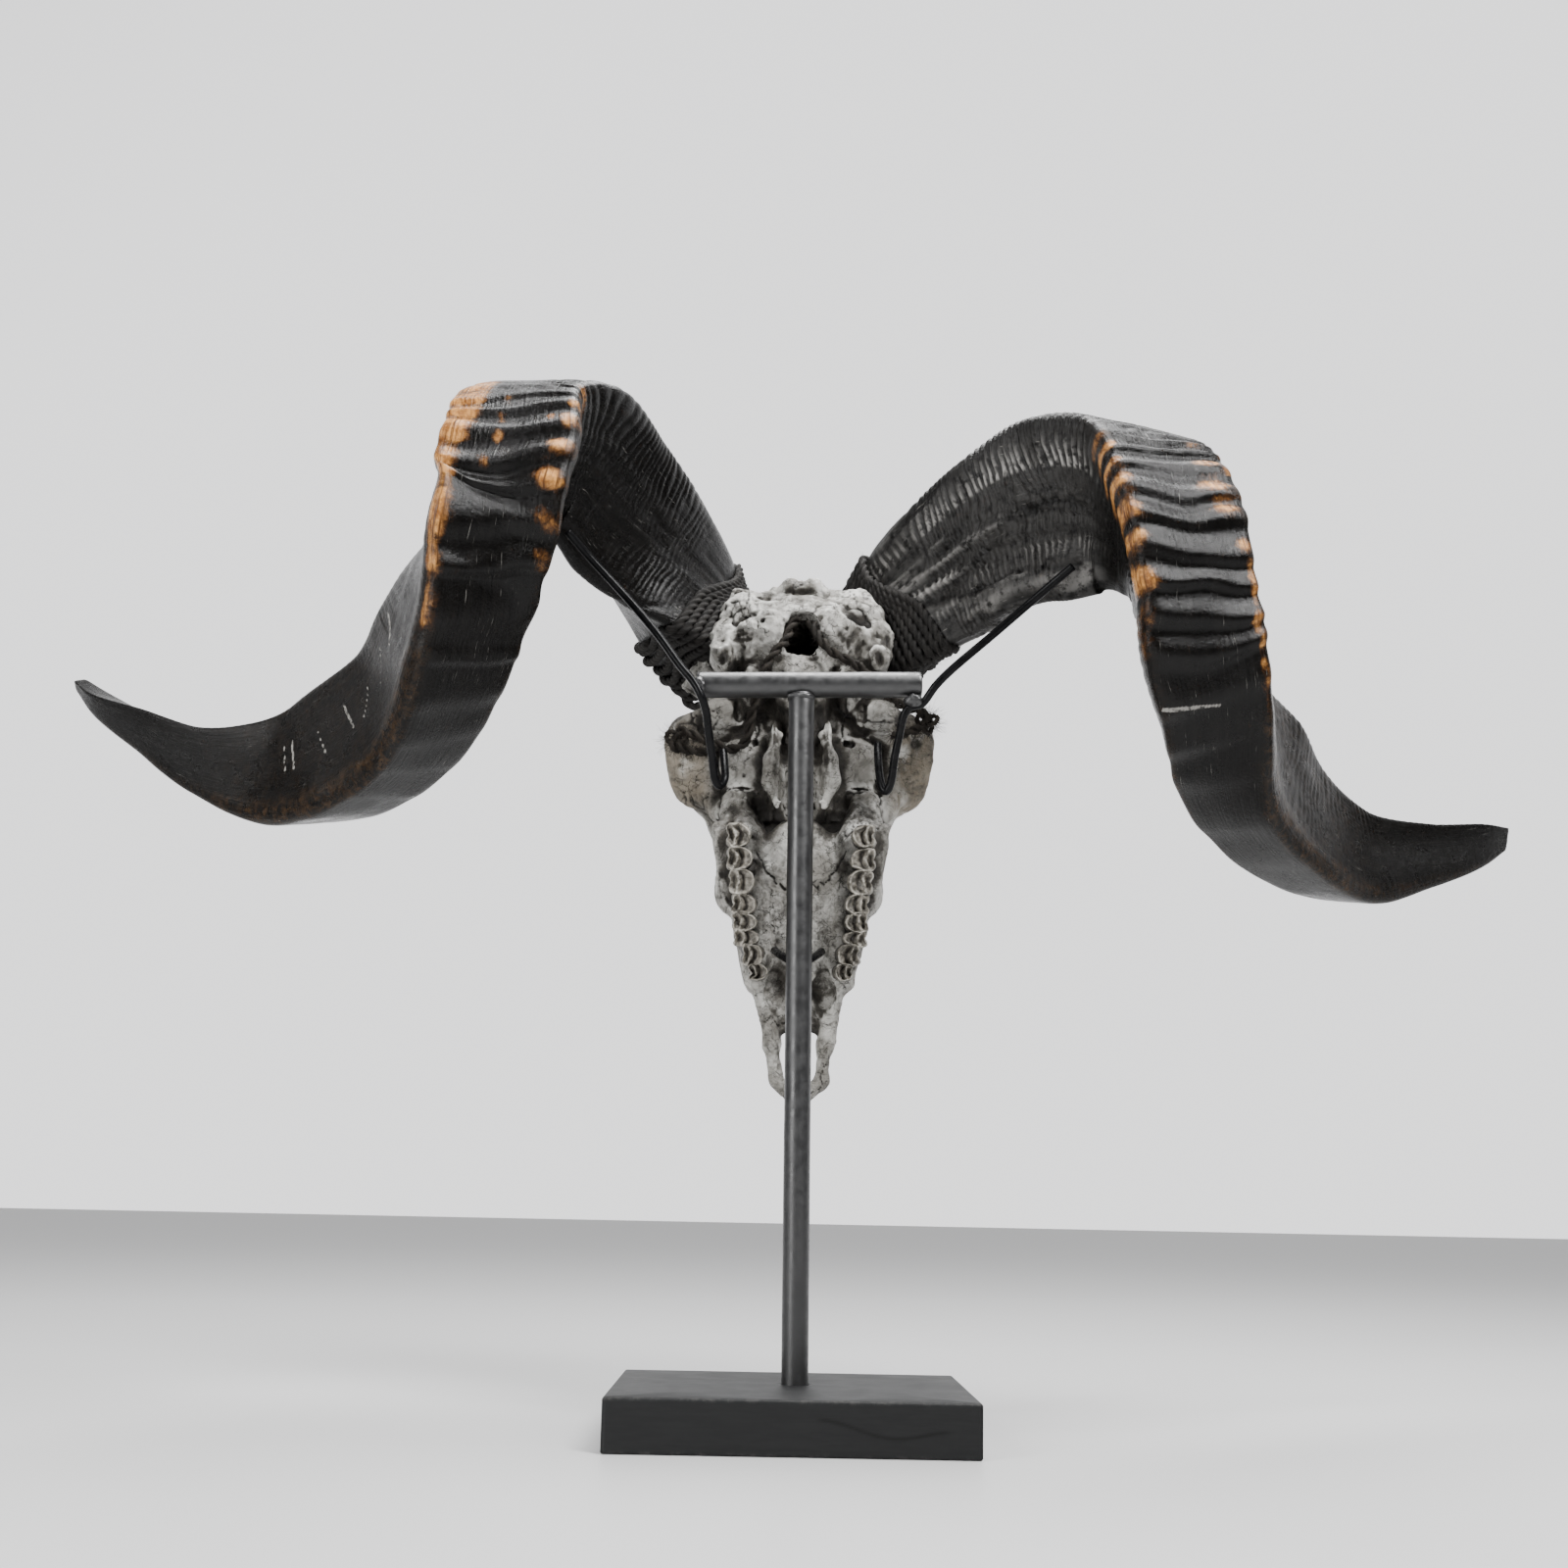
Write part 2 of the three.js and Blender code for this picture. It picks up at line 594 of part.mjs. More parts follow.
function ropeWrap(shape) {
  const outer = WRAP_STOPS.map(([stop, swell]) => rootRing(shape, stop * WRAP.width, swell * WRAP.thickness));
  // the bore has the rings of the horn itself, so that the gap stays even
  const rings = Math.ceil(WRAP.width / HORN_STEP) + 2;
  const bore = evenStations(shape, HORN_START, HORN_STEP).slice(0, rings).map(
    (u) => hornRing(hornFrame(shape, u), HORN_SIDES, RIDGE_HEIGHT / 2 + GAP));
  bore.unshift(rootRing(shape, -HORN_STEP / 2, GAP));
  return toSolid(skinRings(outer)).subtract(toSolid(skinRings(bore)));
}

// The room that a horn and its rope take, which the bone keeps clear of
function hornRoom(shape) {
  const rings = [-GAP, WRAP.width / 2, WRAP.width * 1.5].map(
    (distance) => rootRing(shape, distance, WRAP.thickness + GAP));
  return toSolid(skinRings(rings));
}

// Rods and ropes. The rods are welded to the bar, and their ends hook into the skull.

const ROD_ROUTES = {
  left: [
    [-120.5, -17, 442], [-108.5, -8, 431], [-91, -2, 414], [-75, -3, 395], [-63, -4, 378.5],
    [-56, -4.4, 370], [-51.5, -4.4, 362], [-49, 0, 355], [-48, 6, 348], [-46, 12, 336],
    [-44.5, 17, 326], [-42, 19.5, 322.5], [-39.5, 21, 327], [-40, 26, 336], [-41, 32, 345],
  ],
  right: [
    [133, -21, 428.5], [113, -10, 413], [94, -4, 397], [76, -3, 381], [67, -1, 372],
    [60.5, 2, 363.4], [54, 4, 361.6], [51, 5.5, 357], [49.5, 9, 349], [47.5, 13, 338],
    [46, 17, 326], [43.5, 19.5, 321.5], [41, 21, 327], [40, 27, 340], [40, 33, 351],
  ],
};
const CRADLE_ROUTE = [
  [-12, 38, 240.5], [-9, 27, 236.5], [-4.5, 16, 232.5], [0.2, 13.4, 231.5], [5, 16, 232.5],
  [9.5, 27, 236.5], [12.5, 38, 240.5],
];
const TIE_ROUTES = {
  left: [
    [-2.2, 36.8, 418.4], [-4.6, 35.8, 418], [-6.8, 34, 414.5], [-8, 32.5, 410], [-9.4, 30.5, 405.5],
    [-12, 28, 401.5], [-15.5, 26, 396.5], [-18.8, 25, 390], [-22, 24, 379], [-25.5, 28, 369],
    [-27.5, 32, 360], [-29, 35, 352], [-36, 37, 347.5], [-46, 37, 350], [-56, 39, 355],
    [-64, 41, 358], [-66, 42, 351], [-58, 39, 346.5], [-47, 38, 346],
  ],
  right: [
    [2.6, 36.8, 418], [4.2, 36, 416.8], [5.8, 34, 413.5], [7.6, 31.5, 409], [10.3, 28.7, 404],
    [14.5, 27, 399], [20, 26, 395.5], [26, 26, 392.5], [32, 27, 388.5], [37.5, 28, 382],
    [46, 31, 376], [55, 36, 372], [63, 40, 371.5], [67, 43, 366], [58, 40, 360], [48, 39, 357.5],
  ],
};

function buildBase() {
  const { width, depth, height, chamfer } = BASE;
  const outline = new THREE.Shape([
    new THREE.Vector2(-width / 2 + chamfer, -depth / 2 + chamfer),
    new THREE.Vector2(width / 2 - chamfer, -depth / 2 + chamfer),
    new THREE.Vector2(width / 2 - chamfer, depth / 2 - chamfer),
    new THREE.Vector2(-width / 2 + chamfer, depth / 2 - chamfer),
  ]);
  const block = new THREE.ExtrudeGeometry(outline, {
    depth: height - 2 * chamfer, bevelThickness: chamfer, bevelSize: chamfer, bevelSegments: 1,
  });
  block.translate(0, 0, chamfer);
  const socketFoot = POST_FOOT.clone().setZ(POST_FOOT.z - GAP);
  const direction = POST_TOP.clone().sub(POST_FOOT).normalize();
  const socketTop = socketFoot.clone().addScaledVector(direction, height);
  const socket = cylinderBetween(socketFoot, socketTop, BAR_RADIUS + GAP);
  addPiece('base_plate', toGeometry(toSolid(block).subtract(toSolid(socket))), paintBlack);
}

function buildPostAndBar() {
  const bar = toSolid(cylinderBetween(BAR_LEFT, BAR_RIGHT, BAR_RADIUS));
  const barClear = toSolid(cylinderBetween(BAR_LEFT, BAR_RIGHT, BAR_RADIUS + GAP));
  const post = toSolid(cylinderBetween(POST_FOOT, POST_TOP, BAR_RADIUS));
  const weld = new THREE.CylinderGeometry(WELD.topRadius, WELD.footRadius, WELD.height, WELD.sides);
  weld.rotateX(Math.PI / 2);
  weld.translate(POST_TOP.x, POST_Y, POST_TOP.z - BAR_RADIUS - WELD.drop);
  addPiece('cross_bar', toGeometry(bar), steelBlack);
  addPiece('post_tube', toGeometry(post.add(toSolid(weld)).subtract(barClear)), steelBlack);
}

function build() {
  buildBase();
  buildPostAndBar();

  const sides = ['left', 'right'];
  const teeth = [-1, 1].flatMap((side) => TOOTH_LOBES.map((lobe) => toSolid(
    toothLobe(side, lobe).applyMatrix4(skullFrame))));
  let skull = skullSolid();
  for (const tooth of teeth) skull = skull.add(tooth);
  for (const side of sides) skull = skull.subtract(hornRoom(HORNS[side]));
  addPiece('skull', toGeometry(skull), bone);

  for (const side of sides) {
    addPiece(`horn_${side}`, hornGeometry(HORNS[side]), horn);
    addPiece(`rope_wrap_${side}`, toGeometry(ropeWrap(HORNS[side])), rope);
    addPiece(`support_rod_${side}`, tubeAlong(ROD_ROUTES[side], ROD_RADIUS, ROD_STEPS), steelBlack);
    const rodClear = toSolid(tubeAlong(ROD_ROUTES[side], ROD_RADIUS + GAP, ROD_STEPS));
    const tie = toSolid(tubeAlong(TIE_ROUTES[side], TIE_RADIUS, TIE_STEPS));
    addPiece(`rope_tie_${side}`, toGeometry(keepClear(tie, skull).subtract(rodClear)), rope);
  }
  addPiece('palate_cradle', tubeAlong(CRADLE_ROUTE, ROD_RADIUS, CRADLE_STEPS), steelBlack);
}

build();

export default model;
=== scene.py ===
"""Ram skull with curled horns, roped and hooked onto a welded stand: shapes, materials, light, camera."""

import math

import bpy
import numpy as np
from mathutils import Matrix, Vector


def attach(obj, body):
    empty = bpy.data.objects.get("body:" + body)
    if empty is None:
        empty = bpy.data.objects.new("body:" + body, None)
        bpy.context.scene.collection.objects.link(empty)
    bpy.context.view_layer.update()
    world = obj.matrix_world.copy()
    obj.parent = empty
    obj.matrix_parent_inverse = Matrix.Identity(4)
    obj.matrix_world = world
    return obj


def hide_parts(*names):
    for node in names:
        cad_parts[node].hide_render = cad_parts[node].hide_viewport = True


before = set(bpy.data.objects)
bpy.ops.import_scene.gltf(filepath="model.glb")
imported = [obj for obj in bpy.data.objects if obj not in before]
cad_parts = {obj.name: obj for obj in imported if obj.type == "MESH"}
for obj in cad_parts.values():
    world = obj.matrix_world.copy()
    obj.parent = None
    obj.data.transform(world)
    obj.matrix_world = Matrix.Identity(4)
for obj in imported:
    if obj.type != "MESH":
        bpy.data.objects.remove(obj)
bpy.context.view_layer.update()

MM = 0.001
TURN = 2 * math.pi

# Stand, in millimetres. The same places as the solids'.
BASE_SIZE = (168.0, 115.0, 24.7)
BAR_RADIUS = 6.5
ROD_RADIUS = 2.1
POST_Y = 4.5
POST_FOOT = (2.1, POST_Y, 7.0)
POST_TOP = (-1.0, POST_Y, 372.2)
BAR_LEFT = (-54.0, POST_Y, 371.0)
BAR_RIGHT = (60.0, POST_Y, 373.8)

# Skull frame: x to the side, s from the neck hole to the nose, d from the teeth to the forehead
SKULL_ORIGIN = np.array([-0.8, -3.8, 389.8])
SKULL_LEAN = math.radians(10)
SKULL_ROLL = 0.0133
SKULL_AXES = np.array([
    [math.cos(SKULL_ROLL), 0.0, math.sin(SKULL_ROLL)],
    [math.cos(SKULL_LEAN) * math.sin(SKULL_ROLL), math.sin(SKULL_LEAN),
     -math.cos(SKULL_LEAN) * math.cos(SKULL_ROLL)],
    [-math.sin(SKULL_LEAN) * math.sin(SKULL_ROLL), math.cos(SKULL_LEAN),
     math.sin(SKULL_LEAN) * math.cos(SKULL_ROLL)],
])

# Numbers

def smooth_step(low, high, value):
    share = np.clip((value - low) / (high - low), 0, 1)
    return share * share * (3 - 2 * share)


def peak(value, width):
    """A bell from 1 at 0 down to almost 0 at twice the width."""
    return np.exp(-(value / width) ** 2)


def corner_blend(grid, cell, part):
    """A grid's values, blended between the eight corners round each place."""
    total = np.zeros(len(cell))
    for corner in np.ndindex(2, 2, 2):
        weight = np.prod(np.where(corner, part, 1 - part), axis=1)
        total += weight * grid[tuple((cell + corner).T)]
    return total


def lattice_noise(points, size, seed):
    """Smooth bumps from -1 to 1 over points in mm, each about size wide."""
    scaled = points / size
    scaled = scaled - (np.floor(scaled.min(0)) - 1)
    counts = np.ceil(scaled.max(0)).astype(int) + 2
    values = np.random.default_rng(seed).uniform(-1, 1, counts).astype(np.float32)
    cell = np.floor(scaled).astype(int)
    return corner_blend(values, cell, smooth_step(0, 1, scaled - cell))


def unit(vectors):
    return vectors / np.maximum(np.linalg.norm(vectors, axis=-1, keepdims=True), 1e-9)


def run_along(points):
    """Distance along a path at each of its points."""
    return np.concatenate([[0], np.cumsum(np.linalg.norm(np.diff(points, axis=0), axis=1))])


def read_rows(places, keys, rows):
    """The columns of rows, read at places between the rows' own keys."""
    return np.stack([np.interp(places, keys, column) for column in np.transpose(rows)], 1)


def spline(points, places):
    """Catmull-Rom curve through rows of numbers, read at the given places (0 is the first row)."""
    rows = np.asarray(points, float)
    rows = np.vstack([2 * rows[0] - rows[1], rows, 2 * rows[-1] - rows[-2]])
    places = np.clip(np.asarray(places, float), 0, len(rows) - 3 - 1e-6)
    first = places.astype(int)
    t = (places - first)[:, None]
    a, b, c, d = (rows[first + k] for k in range(4))
    return 0.5 * (2 * b + (c - a) * t + (2 * a - 5 * b + 4 * c - d) * t**2 + (3 * b - a - 3 * c + d) * t**3)


def resample(points, spacing):
    """Points at an even spacing in mm along the curve through the given ones."""
    fine = spline(points, np.linspace(0, len(points) - 1, 40 * len(points)))
    run = run_along(fine)
    return read_rows(np.linspace(0, run[-1], int(run[-1] / spacing) + 1), run, fine)


# Meshes. A skin is its points in mm, a list of arrays of faces, and named values for each point.

def new_piece(name, skin, material, node=None):
    """A piece of the object from a skin, which stands for a CAD node if one is given."""
    points, faces, values = skin
    corners = np.concatenate([group.ravel() for group in faces]).astype(np.int32)
    sizes = np.concatenate([np.full(len(group), group.shape[1]) for group in faces])
    mesh = bpy.data.meshes.new(name)
    mesh.vertices.add(len(points))
    mesh.vertices.foreach_set("co", (points.astype(np.float32) * MM).ravel())
    mesh.loops.add(len(corners))
    mesh.loops.foreach_set("vertex_index", corners)
    mesh.polygons.add(len(sizes))
    mesh.polygons.foreach_set("loop_start", (np.cumsum(sizes) - sizes).astype(np.int32))
    mesh.update(calc_edges=True)
    for key, rows in values.items():
        kind, field = ("FLOAT_VECTOR", "vector") if rows.ndim == 2 else ("FLOAT", "value")
        layer = mesh.attributes.new(key, kind, "POINT")
        layer.data.foreach_set(field, rows.astype(np.float32).ravel())
    mesh.shade_smooth()
    mesh.materials.append(material)
    piece = bpy.data.objects.new(name, mesh)
    bpy.context.scene.collection.objects.link(piece)
    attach(piece, "root")
    if node:
        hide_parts(node)
    return piece


def thin_out(piece, share):
    """Merges points where the skin is nearly flat, down to a share of its triangles."""
    modifier = piece.modifiers.new("thin_out", "DECIMATE")
    modifier.ratio = share
    graph = bpy.context.evaluated_depsgraph_get()
    mesh = bpy.data.meshes.new_from_object(piece.evaluated_get(graph))
    piece.modifiers.clear()
    piece.data = mesh


def ring_faces(rows, around):
    """Quads between rows of points, each row a ring."""
    index = np.arange(rows * around).reshape(rows, around)
    after = np.roll(index, -1, axis=1)
    return np.stack([index[:-1], after[:-1], after[1:], index[1:]], -1).reshape(-1, 4)


def with_ends(rows):
    """Values on rings as one list, followed by the means of the first ring and the last."""
    return np.concatenate([rows.reshape(-1, *rows.shape[2:]), rows[:1].mean(1), rows[-1:].mean(1)])


def ring_skin(rings, **values):
    """A closed skin over rings (rows, around, 3), with a fan at each end."""
    rows, around = rings.shape[:2]
    first = np.arange(around)
    last = first + (rows - 1) * around
    middle = np.full(around, rows * around)
    fans = np.concatenate([np.stack([middle, np.roll(first, -1), first], 1),
                           np.stack([middle + 1, last, np.roll(last, -1)], 1)])
    values = {key: with_ends(rows_of_values) for key, rows_of_values in values.items()}
    return with_ends(rings), [ring_faces(rows, around), fans], values


def join(skins):
    """One skin from several."""
    points, groups, values = zip(*skins)
    starts = np.cumsum([0] + [len(part) for part in points])
    faces = [group + start for part, start in zip(groups, starts) for group in part]
    values = {key: np.concatenate([part[key] for part in values]) for key in values[0]}
    return np.concatenate(points), faces, values


def mesh_normals(points, faces):
    corners = points[faces]
    across = np.cross(corners[:, 2] - corners[:, 0], corners[:, 3] - corners[:, 1])
    total = np.zeros_like(points)
    for corner in faces.T:
        for axis in range(3):
            total[:, axis] += np.bincount(corner, across[:, axis], len(points))
    return unit(total)


def path_frames(points):
    """Direction and two side vectors along a path, carried along without twisting."""
    ahead = unit(np.gradient(points, axis=0))
    side = np.empty_like(ahead)
    start = np.cross(ahead[0], (0.0, 0.0, 1.0))
    if np.linalg.norm(start) < 0.1:
        start = np.cross(ahead[0], (1.0, 0.0, 0.0))
    side[0] = unit(start)
    for i in range(1, len(points)):
        side[i] = unit(side[i - 1] - ahead[i] * (side[i - 1] @ ahead[i]))
    return ahead, side, np.cross(ahead, side)


def sweep(points, reach, around):
    """Rings round a path. Reach is one for each ring, in a column, or one for each point."""
    _, side, up = path_frames(points)
    angle = np.linspace(0, TURN, around, endpoint=False)
    return (points[:, None] + side[:, None] * (reach * np.cos(angle))[..., None]
            + up[:, None] * (reach * np.sin(angle))[..., None])


def rounded_bar(points, radius, around, edge):
    """The skin of a swept bar whose two ends have a small rounded edge."""
    ahead = unit(np.gradient(points, axis=0))
    along, inset = edge * np.array([[0.0, 0.25, 1.0], [1.0, 0.4, 0.0]])
    path = np.concatenate([points[0] + ahead[0] * along[:, None], points[1:-1],
                           points[-1] - ahead[-1] * along[::-1, None]])
    radii = radius - np.concatenate([inset, np.zeros(len(points) - 2), inset[::-1]])
    return ring_skin(sweep(path, radii[:, None], around))


# Shader building

class Wire:
    """An output of a node, so that sums of outputs read as sums."""

    def __init__(self, nodes, socket):
        self.nodes = nodes
        self.socket = socket

    def math(self, operation, other=0.0, clamp=False):
        return self.nodes.add("ShaderNodeMath", {0: self, 1: other}, operation=operation, use_clamp=clamp)

    def __add__(self, other):
        return self.math("ADD", other)

    def __sub__(self, other):
        return self.math("SUBTRACT", other)

    def __mul__(self, other):
        return self.math("MULTIPLY", other)

    def spread(self, low, high, to_low=0.0, to_high=1.0):
        """A smooth step from to_low to to_high, as this output goes from low to high."""
        return self.nodes.add("ShaderNodeMapRange", {
            "Value": self, "From Min": low, "From Max": high, "To Min": to_low, "To Max": to_high},
            interpolation_type="SMOOTHSTEP")


class Nodes:
    """A tree of nodes, added one at a time."""

    def __init__(self, tree):
        self.tree = tree

    def put(self, socket, value):
        if isinstance(value, Wire):
            self.tree.links.new(value.socket, socket)
        else:
            socket.default_value = (*value, 1.0) if socket.type == "RGBA" else value

    def add(self, kind, inputs, output=0, **settings):
        node = self.tree.nodes.new(kind)
        for key, value in settings.items():
            setattr(node, key, value)
        for key, value in inputs.items():
            self.put(node.inputs[key], value)
        return Wire(self, node.outputs[output])


class Shader(Nodes):
    """A material and its colour so far. Sizes are in mm."""

    def __init__(self, name):
        self.material = bpy.data.materials.new(name)
        self.material.use_nodes = True
        super().__init__(self.material.node_tree)
        self.place = self.add("ShaderNodeTexCoord", {}, "Object")

    def attribute(self, name, output="Fac"):
        return self.add("ShaderNodeAttribute", {}, output, attribute_name=name)

    def noise(self, size, detail, rough, warp=0.0, at=None, output="Fac"):
        """Noise from 0 to 1 whose lumps are about size wide."""
        return self.add("ShaderNodeTexNoise", {
            "Vector": at or self.place, "Scale": 1.0 / (size * MM), "Detail": detail,
            "Roughness": rough, "Distortion": warp}, output)

    def fibres(self, stretch, detail, rough):
        """Noise along the piece's own grain, with lumps of 1 mm divided by the three stretches."""
        grain = self.scaled(stretch, self.attribute("grain", "Vector"))
        return self.noise(1.0, detail, rough, at=grain)

    def scaled(self, factors, at):
        return self.add("ShaderNodeVectorMath", {0: at, 1: factors}, operation="MULTIPLY")

    def warped(self, size, reach):
        """Places pushed about by up to reach, by noise whose lumps are size wide."""
        wave = self.scaled([reach * MM] * 3, self.noise(size, 3.0, 0.5, output="Color"))
        return self.add("ShaderNodeVectorMath", {0: wave, 1: self.place}, operation="ADD")

    def cells(self, size, at, feature, output):
        """Cells about size wide: how far the nearest edge is, or a random colour for each."""
        inputs = {"Vector": at, "Scale": 1.0 / (size * MM)}
        return self.add("ShaderNodeTexVoronoi", inputs, output, feature=feature)

    def mix(self, share, a, b):
        node = self.tree.nodes.new("ShaderNodeMix")
        node.data_type = "RGBA"
        self.put(node.inputs["Factor"], share)
        colours = [socket for socket in node.inputs if socket.type == "RGBA"]
        for socket, value in zip(colours, (a, b)):
            self.put(socket, value)
        return Wire(self, next(socket for socket in node.outputs if socket.type == "RGBA"))

    def start(self, share, a, b):
        """The first colour of the surface, from a to b as share goes from 0 to 1."""
        self.colour = self.mix(share, a, b)

    def tint(self, share, colour):
        """Lays a colour over the surface's."""
        self.colour = self.mix(share, self.colour, colour)

    def finish(self, roughness, specular, height=None, depth=0.0):
        """The material, with bumps whose height of 1 is depth."""
        inputs = self.tree.nodes["Principled BSDF"].inputs
        self.put(inputs["Base Color"], self.colour)
        self.put(inputs["Roughness"], roughness)
        self.put(inputs["Specular IOR Level"], specular)
        if height:
            bump = self.add("ShaderNodeBump", {"Height": height, "Distance": depth * MM, "Strength": 1.0})
            self.put(inputs["Normal"], bump)
        return self.material


def bone_material():
    bone = Shader("bone")
    broad = bone.noise(26, 5, 0.65, 0.5).spread(0.36, 0.66)
    bone.start(broad, (0.25, 0.24, 0.215), (0.56, 0.548, 0.512))
    tan = bone.mix(bone.noise(12, 5, 0.65).spread(0.3, 0.7), (0.20, 0.155, 0.10), (0.34, 0.29, 0.215))
    bone.tint(bone.attribute("stain") * 0.75, tan)
    grime = bone.noise(8, 6, 0.75, 1.2).spread(0.46, 0.64)
    bone.tint(grime * 0.6, (0.10, 0.093, 0.080))
    soot = bone.noise(3.0, 5, 0.75, 0.8).spread(0.55, 0.68)
    bone.tint(soot * 0.42, (0.055, 0.048, 0.040))
    # painted highlight: the crests and sharp edges of the bone are lightened
    bone.tint(bone.attribute("ridge") * 0.75, (0.80, 0.79, 0.745))
    # painted shade in hollows, crevices and between parts from the cavity value, with dirt in random patches;
    # near black where the shade is deepest
    dirt_and_shade = bone.noise(4, 5, 0.75) * 0.9 + bone.attribute("cavity")
    bone.tint(dirt_and_shade.spread(0.55, 1.05), (0.052, 0.047, 0.039))
    bone.tint(dirt_and_shade.spread(0.95, 1.45), (0.010, 0.008, 0.006))
    # hairline cracks where a wandering noise crosses its middle
    line = (bone.noise(15, 5, 0.62, 0.7) - 0.5).math("ABSOLUTE")
    hairline = line.spread(0.008, 0.002) * bone.noise(21, 2, 0.5).spread(0.45, 0.6)
    crack = bone.attribute("crack").math("ADD", hairline * 0.8, clamp=True)
    # chipped areas, whose flakes differ a little in height and tone
    bent = bone.warped(5, 7)
    chipped = bone.noise(19, 3, 0.6).spread(0.42, 0.56)
    flake = bone.cells(5.0, bent, "F1", "Color") * chipped
    flake_edge = bone.cells(5.0, bent, "DISTANCE_TO_EDGE", "Distance").spread(0.05, 0.01) * chipped
    flake_edge = flake_edge * bone.noise(6, 3, 0.6).spread(0.42, 0.6)
    bone.tint(flake * 0.30, (0.10, 0.088, 0.070))
    crack = crack.math("MAXIMUM", flake_edge * 0.85)
    # dark cracks, joints and flake edges, and the painted shade in pits, carved grooves and pores
    bone.tint(crack, (0.012, 0.010, 0.008))
    height = bone.noise(1.6, 5, 0.75) - soot * 0.5 - crack * 0.6 + flake * 0.9
    return bone.finish(broad.spread(0, 1, 0.62, 0.5), 0.35, height, 1.2)


def tooth_material():
    teeth = Shader("teeth")
    teeth.start(teeth.noise(3, 4, 0.6, 0.5).spread(0.35, 0.68), (0.045, 0.040, 0.031), (0.24, 0.22, 0.185))
    enamel = teeth.attribute("ridge") * teeth.noise(3.2, 4, 0.7).spread(0.42, 0.60, 0.05, 1.0)
    teeth.tint(enamel, (0.47, 0.445, 0.39))
    # painted shade in the crescent pits and on the walls below the crown
    teeth.tint(teeth.attribute("cavity"), (0.02, 0.016, 0.012))
    return teeth.finish(0.42, 0.5, teeth.noise(0.8, 3, 0.6), 0.25)


def horn_material():
    horn = Shader("horn")
    valley = horn.attribute("valley")
    fibres = horn.fibres((0.05, 0.8, 0.8), 4, 0.65)
    streaks = horn.fibres((0.018, 0.35, 0.35), 3, 0.6)
    horn.start(streaks.spread(0.3, 0.7), (0.0012, 0.0010, 0.0009), (0.0034, 0.0029, 0.0025))
    horn.tint(horn.noise(22, 5, 0.7, 0.6).spread(0.54, 0.74) * 0.35, (0.008, 0.007, 0.0058))
    brown = horn.mix(horn.noise(6, 4, 0.6).spread(0.3, 0.7), (0.014, 0.0085, 0.0045), (0.045, 0.024, 0.010))
    horn.tint(horn.attribute("rust") * horn.noise(4, 5, 0.75, 0.6).spread(0.40, 0.62), brown)
    # painted shade in the rib troughs, the grooves between ridges and the creases
    horn.tint(valley * 0.8, (0.0018, 0.0015, 0.0013))
    # bare horn shows in frayed patches on the crests, and fibres stay dark across them
    frayed = horn.noise(6, 6, 0.78, 0.6) * 1.5 + horn.attribute("wear") + fibres * 0.5 - valley * 0.45
    horn.tint(frayed.spread(1.15, 1.6) * 0.8, (0.050, 0.020, 0.006))
    tan = horn.mix(horn.noise(5, 5, 0.7).spread(0.34, 0.66), (0.21, 0.078, 0.020), (0.60, 0.29, 0.085))
    tan = horn.mix(fibres.spread(0.47, 0.66), tan, (0.085, 0.033, 0.010))
    horn.tint(frayed.spread(1.38, 2.0), tan)
    # pale dust, and painted sheen and glints on the rib crests of the rising part
    horn.tint(horn.attribute("dust") * horn.noise(5, 5, 0.7).spread(0.33, 0.55), (0.30, 0.29, 0.275))
    # short pale scratches along the horn, and the few long ones
    short = horn.fibres((0.10, 2.0, 2.0), 2, 0.5).spread(0.66, 0.73)
    short = short * horn.noise(13, 3, 0.6).spread(0.48, 0.60) * 0.55
    scored = short.math("MAXIMUM", horn.attribute("scratch").spread(0.35, 0.6))
    horn.tint(scored * horn.noise(2.5, 4, 0.7).spread(0.36, 0.54), (0.26, 0.25, 0.23))
    rough = horn.noise(9, 4, 0.65, 0.3).spread(0.3, 0.7, 0.34, 0.48) - horn.attribute("polish") * 0.18
    return horn.finish(rough, 0.17, fibres + horn.noise(1.7, 4, 0.7) * 0.7, 0.45)


def steel_material(name, rough_low, rough_high, specular):
    steel = Shader(name)
    steel.start(steel.noise(9, 4, 0.6).spread(0.35, 0.65), (0.0035, 0.0036, 0.0040), (0.0075, 0.0075, 0.0080))
    scuffs = steel.noise(2.2, 5, 0.7, 0.5).spread(0.66, 0.74)
    steel.tint(scuffs * 0.5, (0.045, 0.045, 0.047))
    rough = steel.noise(5, 4, 0.6).spread(0.3, 0.7, rough_low, rough_high)
    return steel.finish(rough, specular, steel.noise(2.5, 3, 0.5) + steel.noise(0.6, 2, 0.5) * 0.4, 0.10)


def base_material():
    base = Shader("base_wood")
    grain = base.noise(2.4, 4, 0.65, 0.4, base.scaled((0.12, 1.0, 1.0), base.place))
    base.start(grain.spread(0.3, 0.7), (0.0070, 0.0072, 0.0076), (0.0092, 0.0096, 0.0098))
    base.tint(base.attribute("crack"), (0.002, 0.002, 0.002))
    worn = base.attribute("ridge") * base.noise(6, 4, 0.7).spread(0.45, 0.7)
    base.tint(worn * 0.5, (0.06, 0.058, 0.055))
    rough = base.noise(18, 4, 0.6, 0.3).spread(0.3, 0.7, 0.55, 0.60)
    return base.finish(rough, 0.25, grain + base.noise(0.5, 2, 0.5) * 0.35, 0.05)


def rope_material(name, dark, light):
    rope = Shader(name)
    fibres = rope.fibres((0.25, 2.2, 2.2), 4, 0.7)
    rope.start(fibres.spread(0.3, 0.72), dark, light)
    rope.tint(rope.noise(11, 3, 0.6).spread(0.35, 0.65) * 0.5, dark)
    return rope.finish(0.82, 0.3, fibres, 0.5)


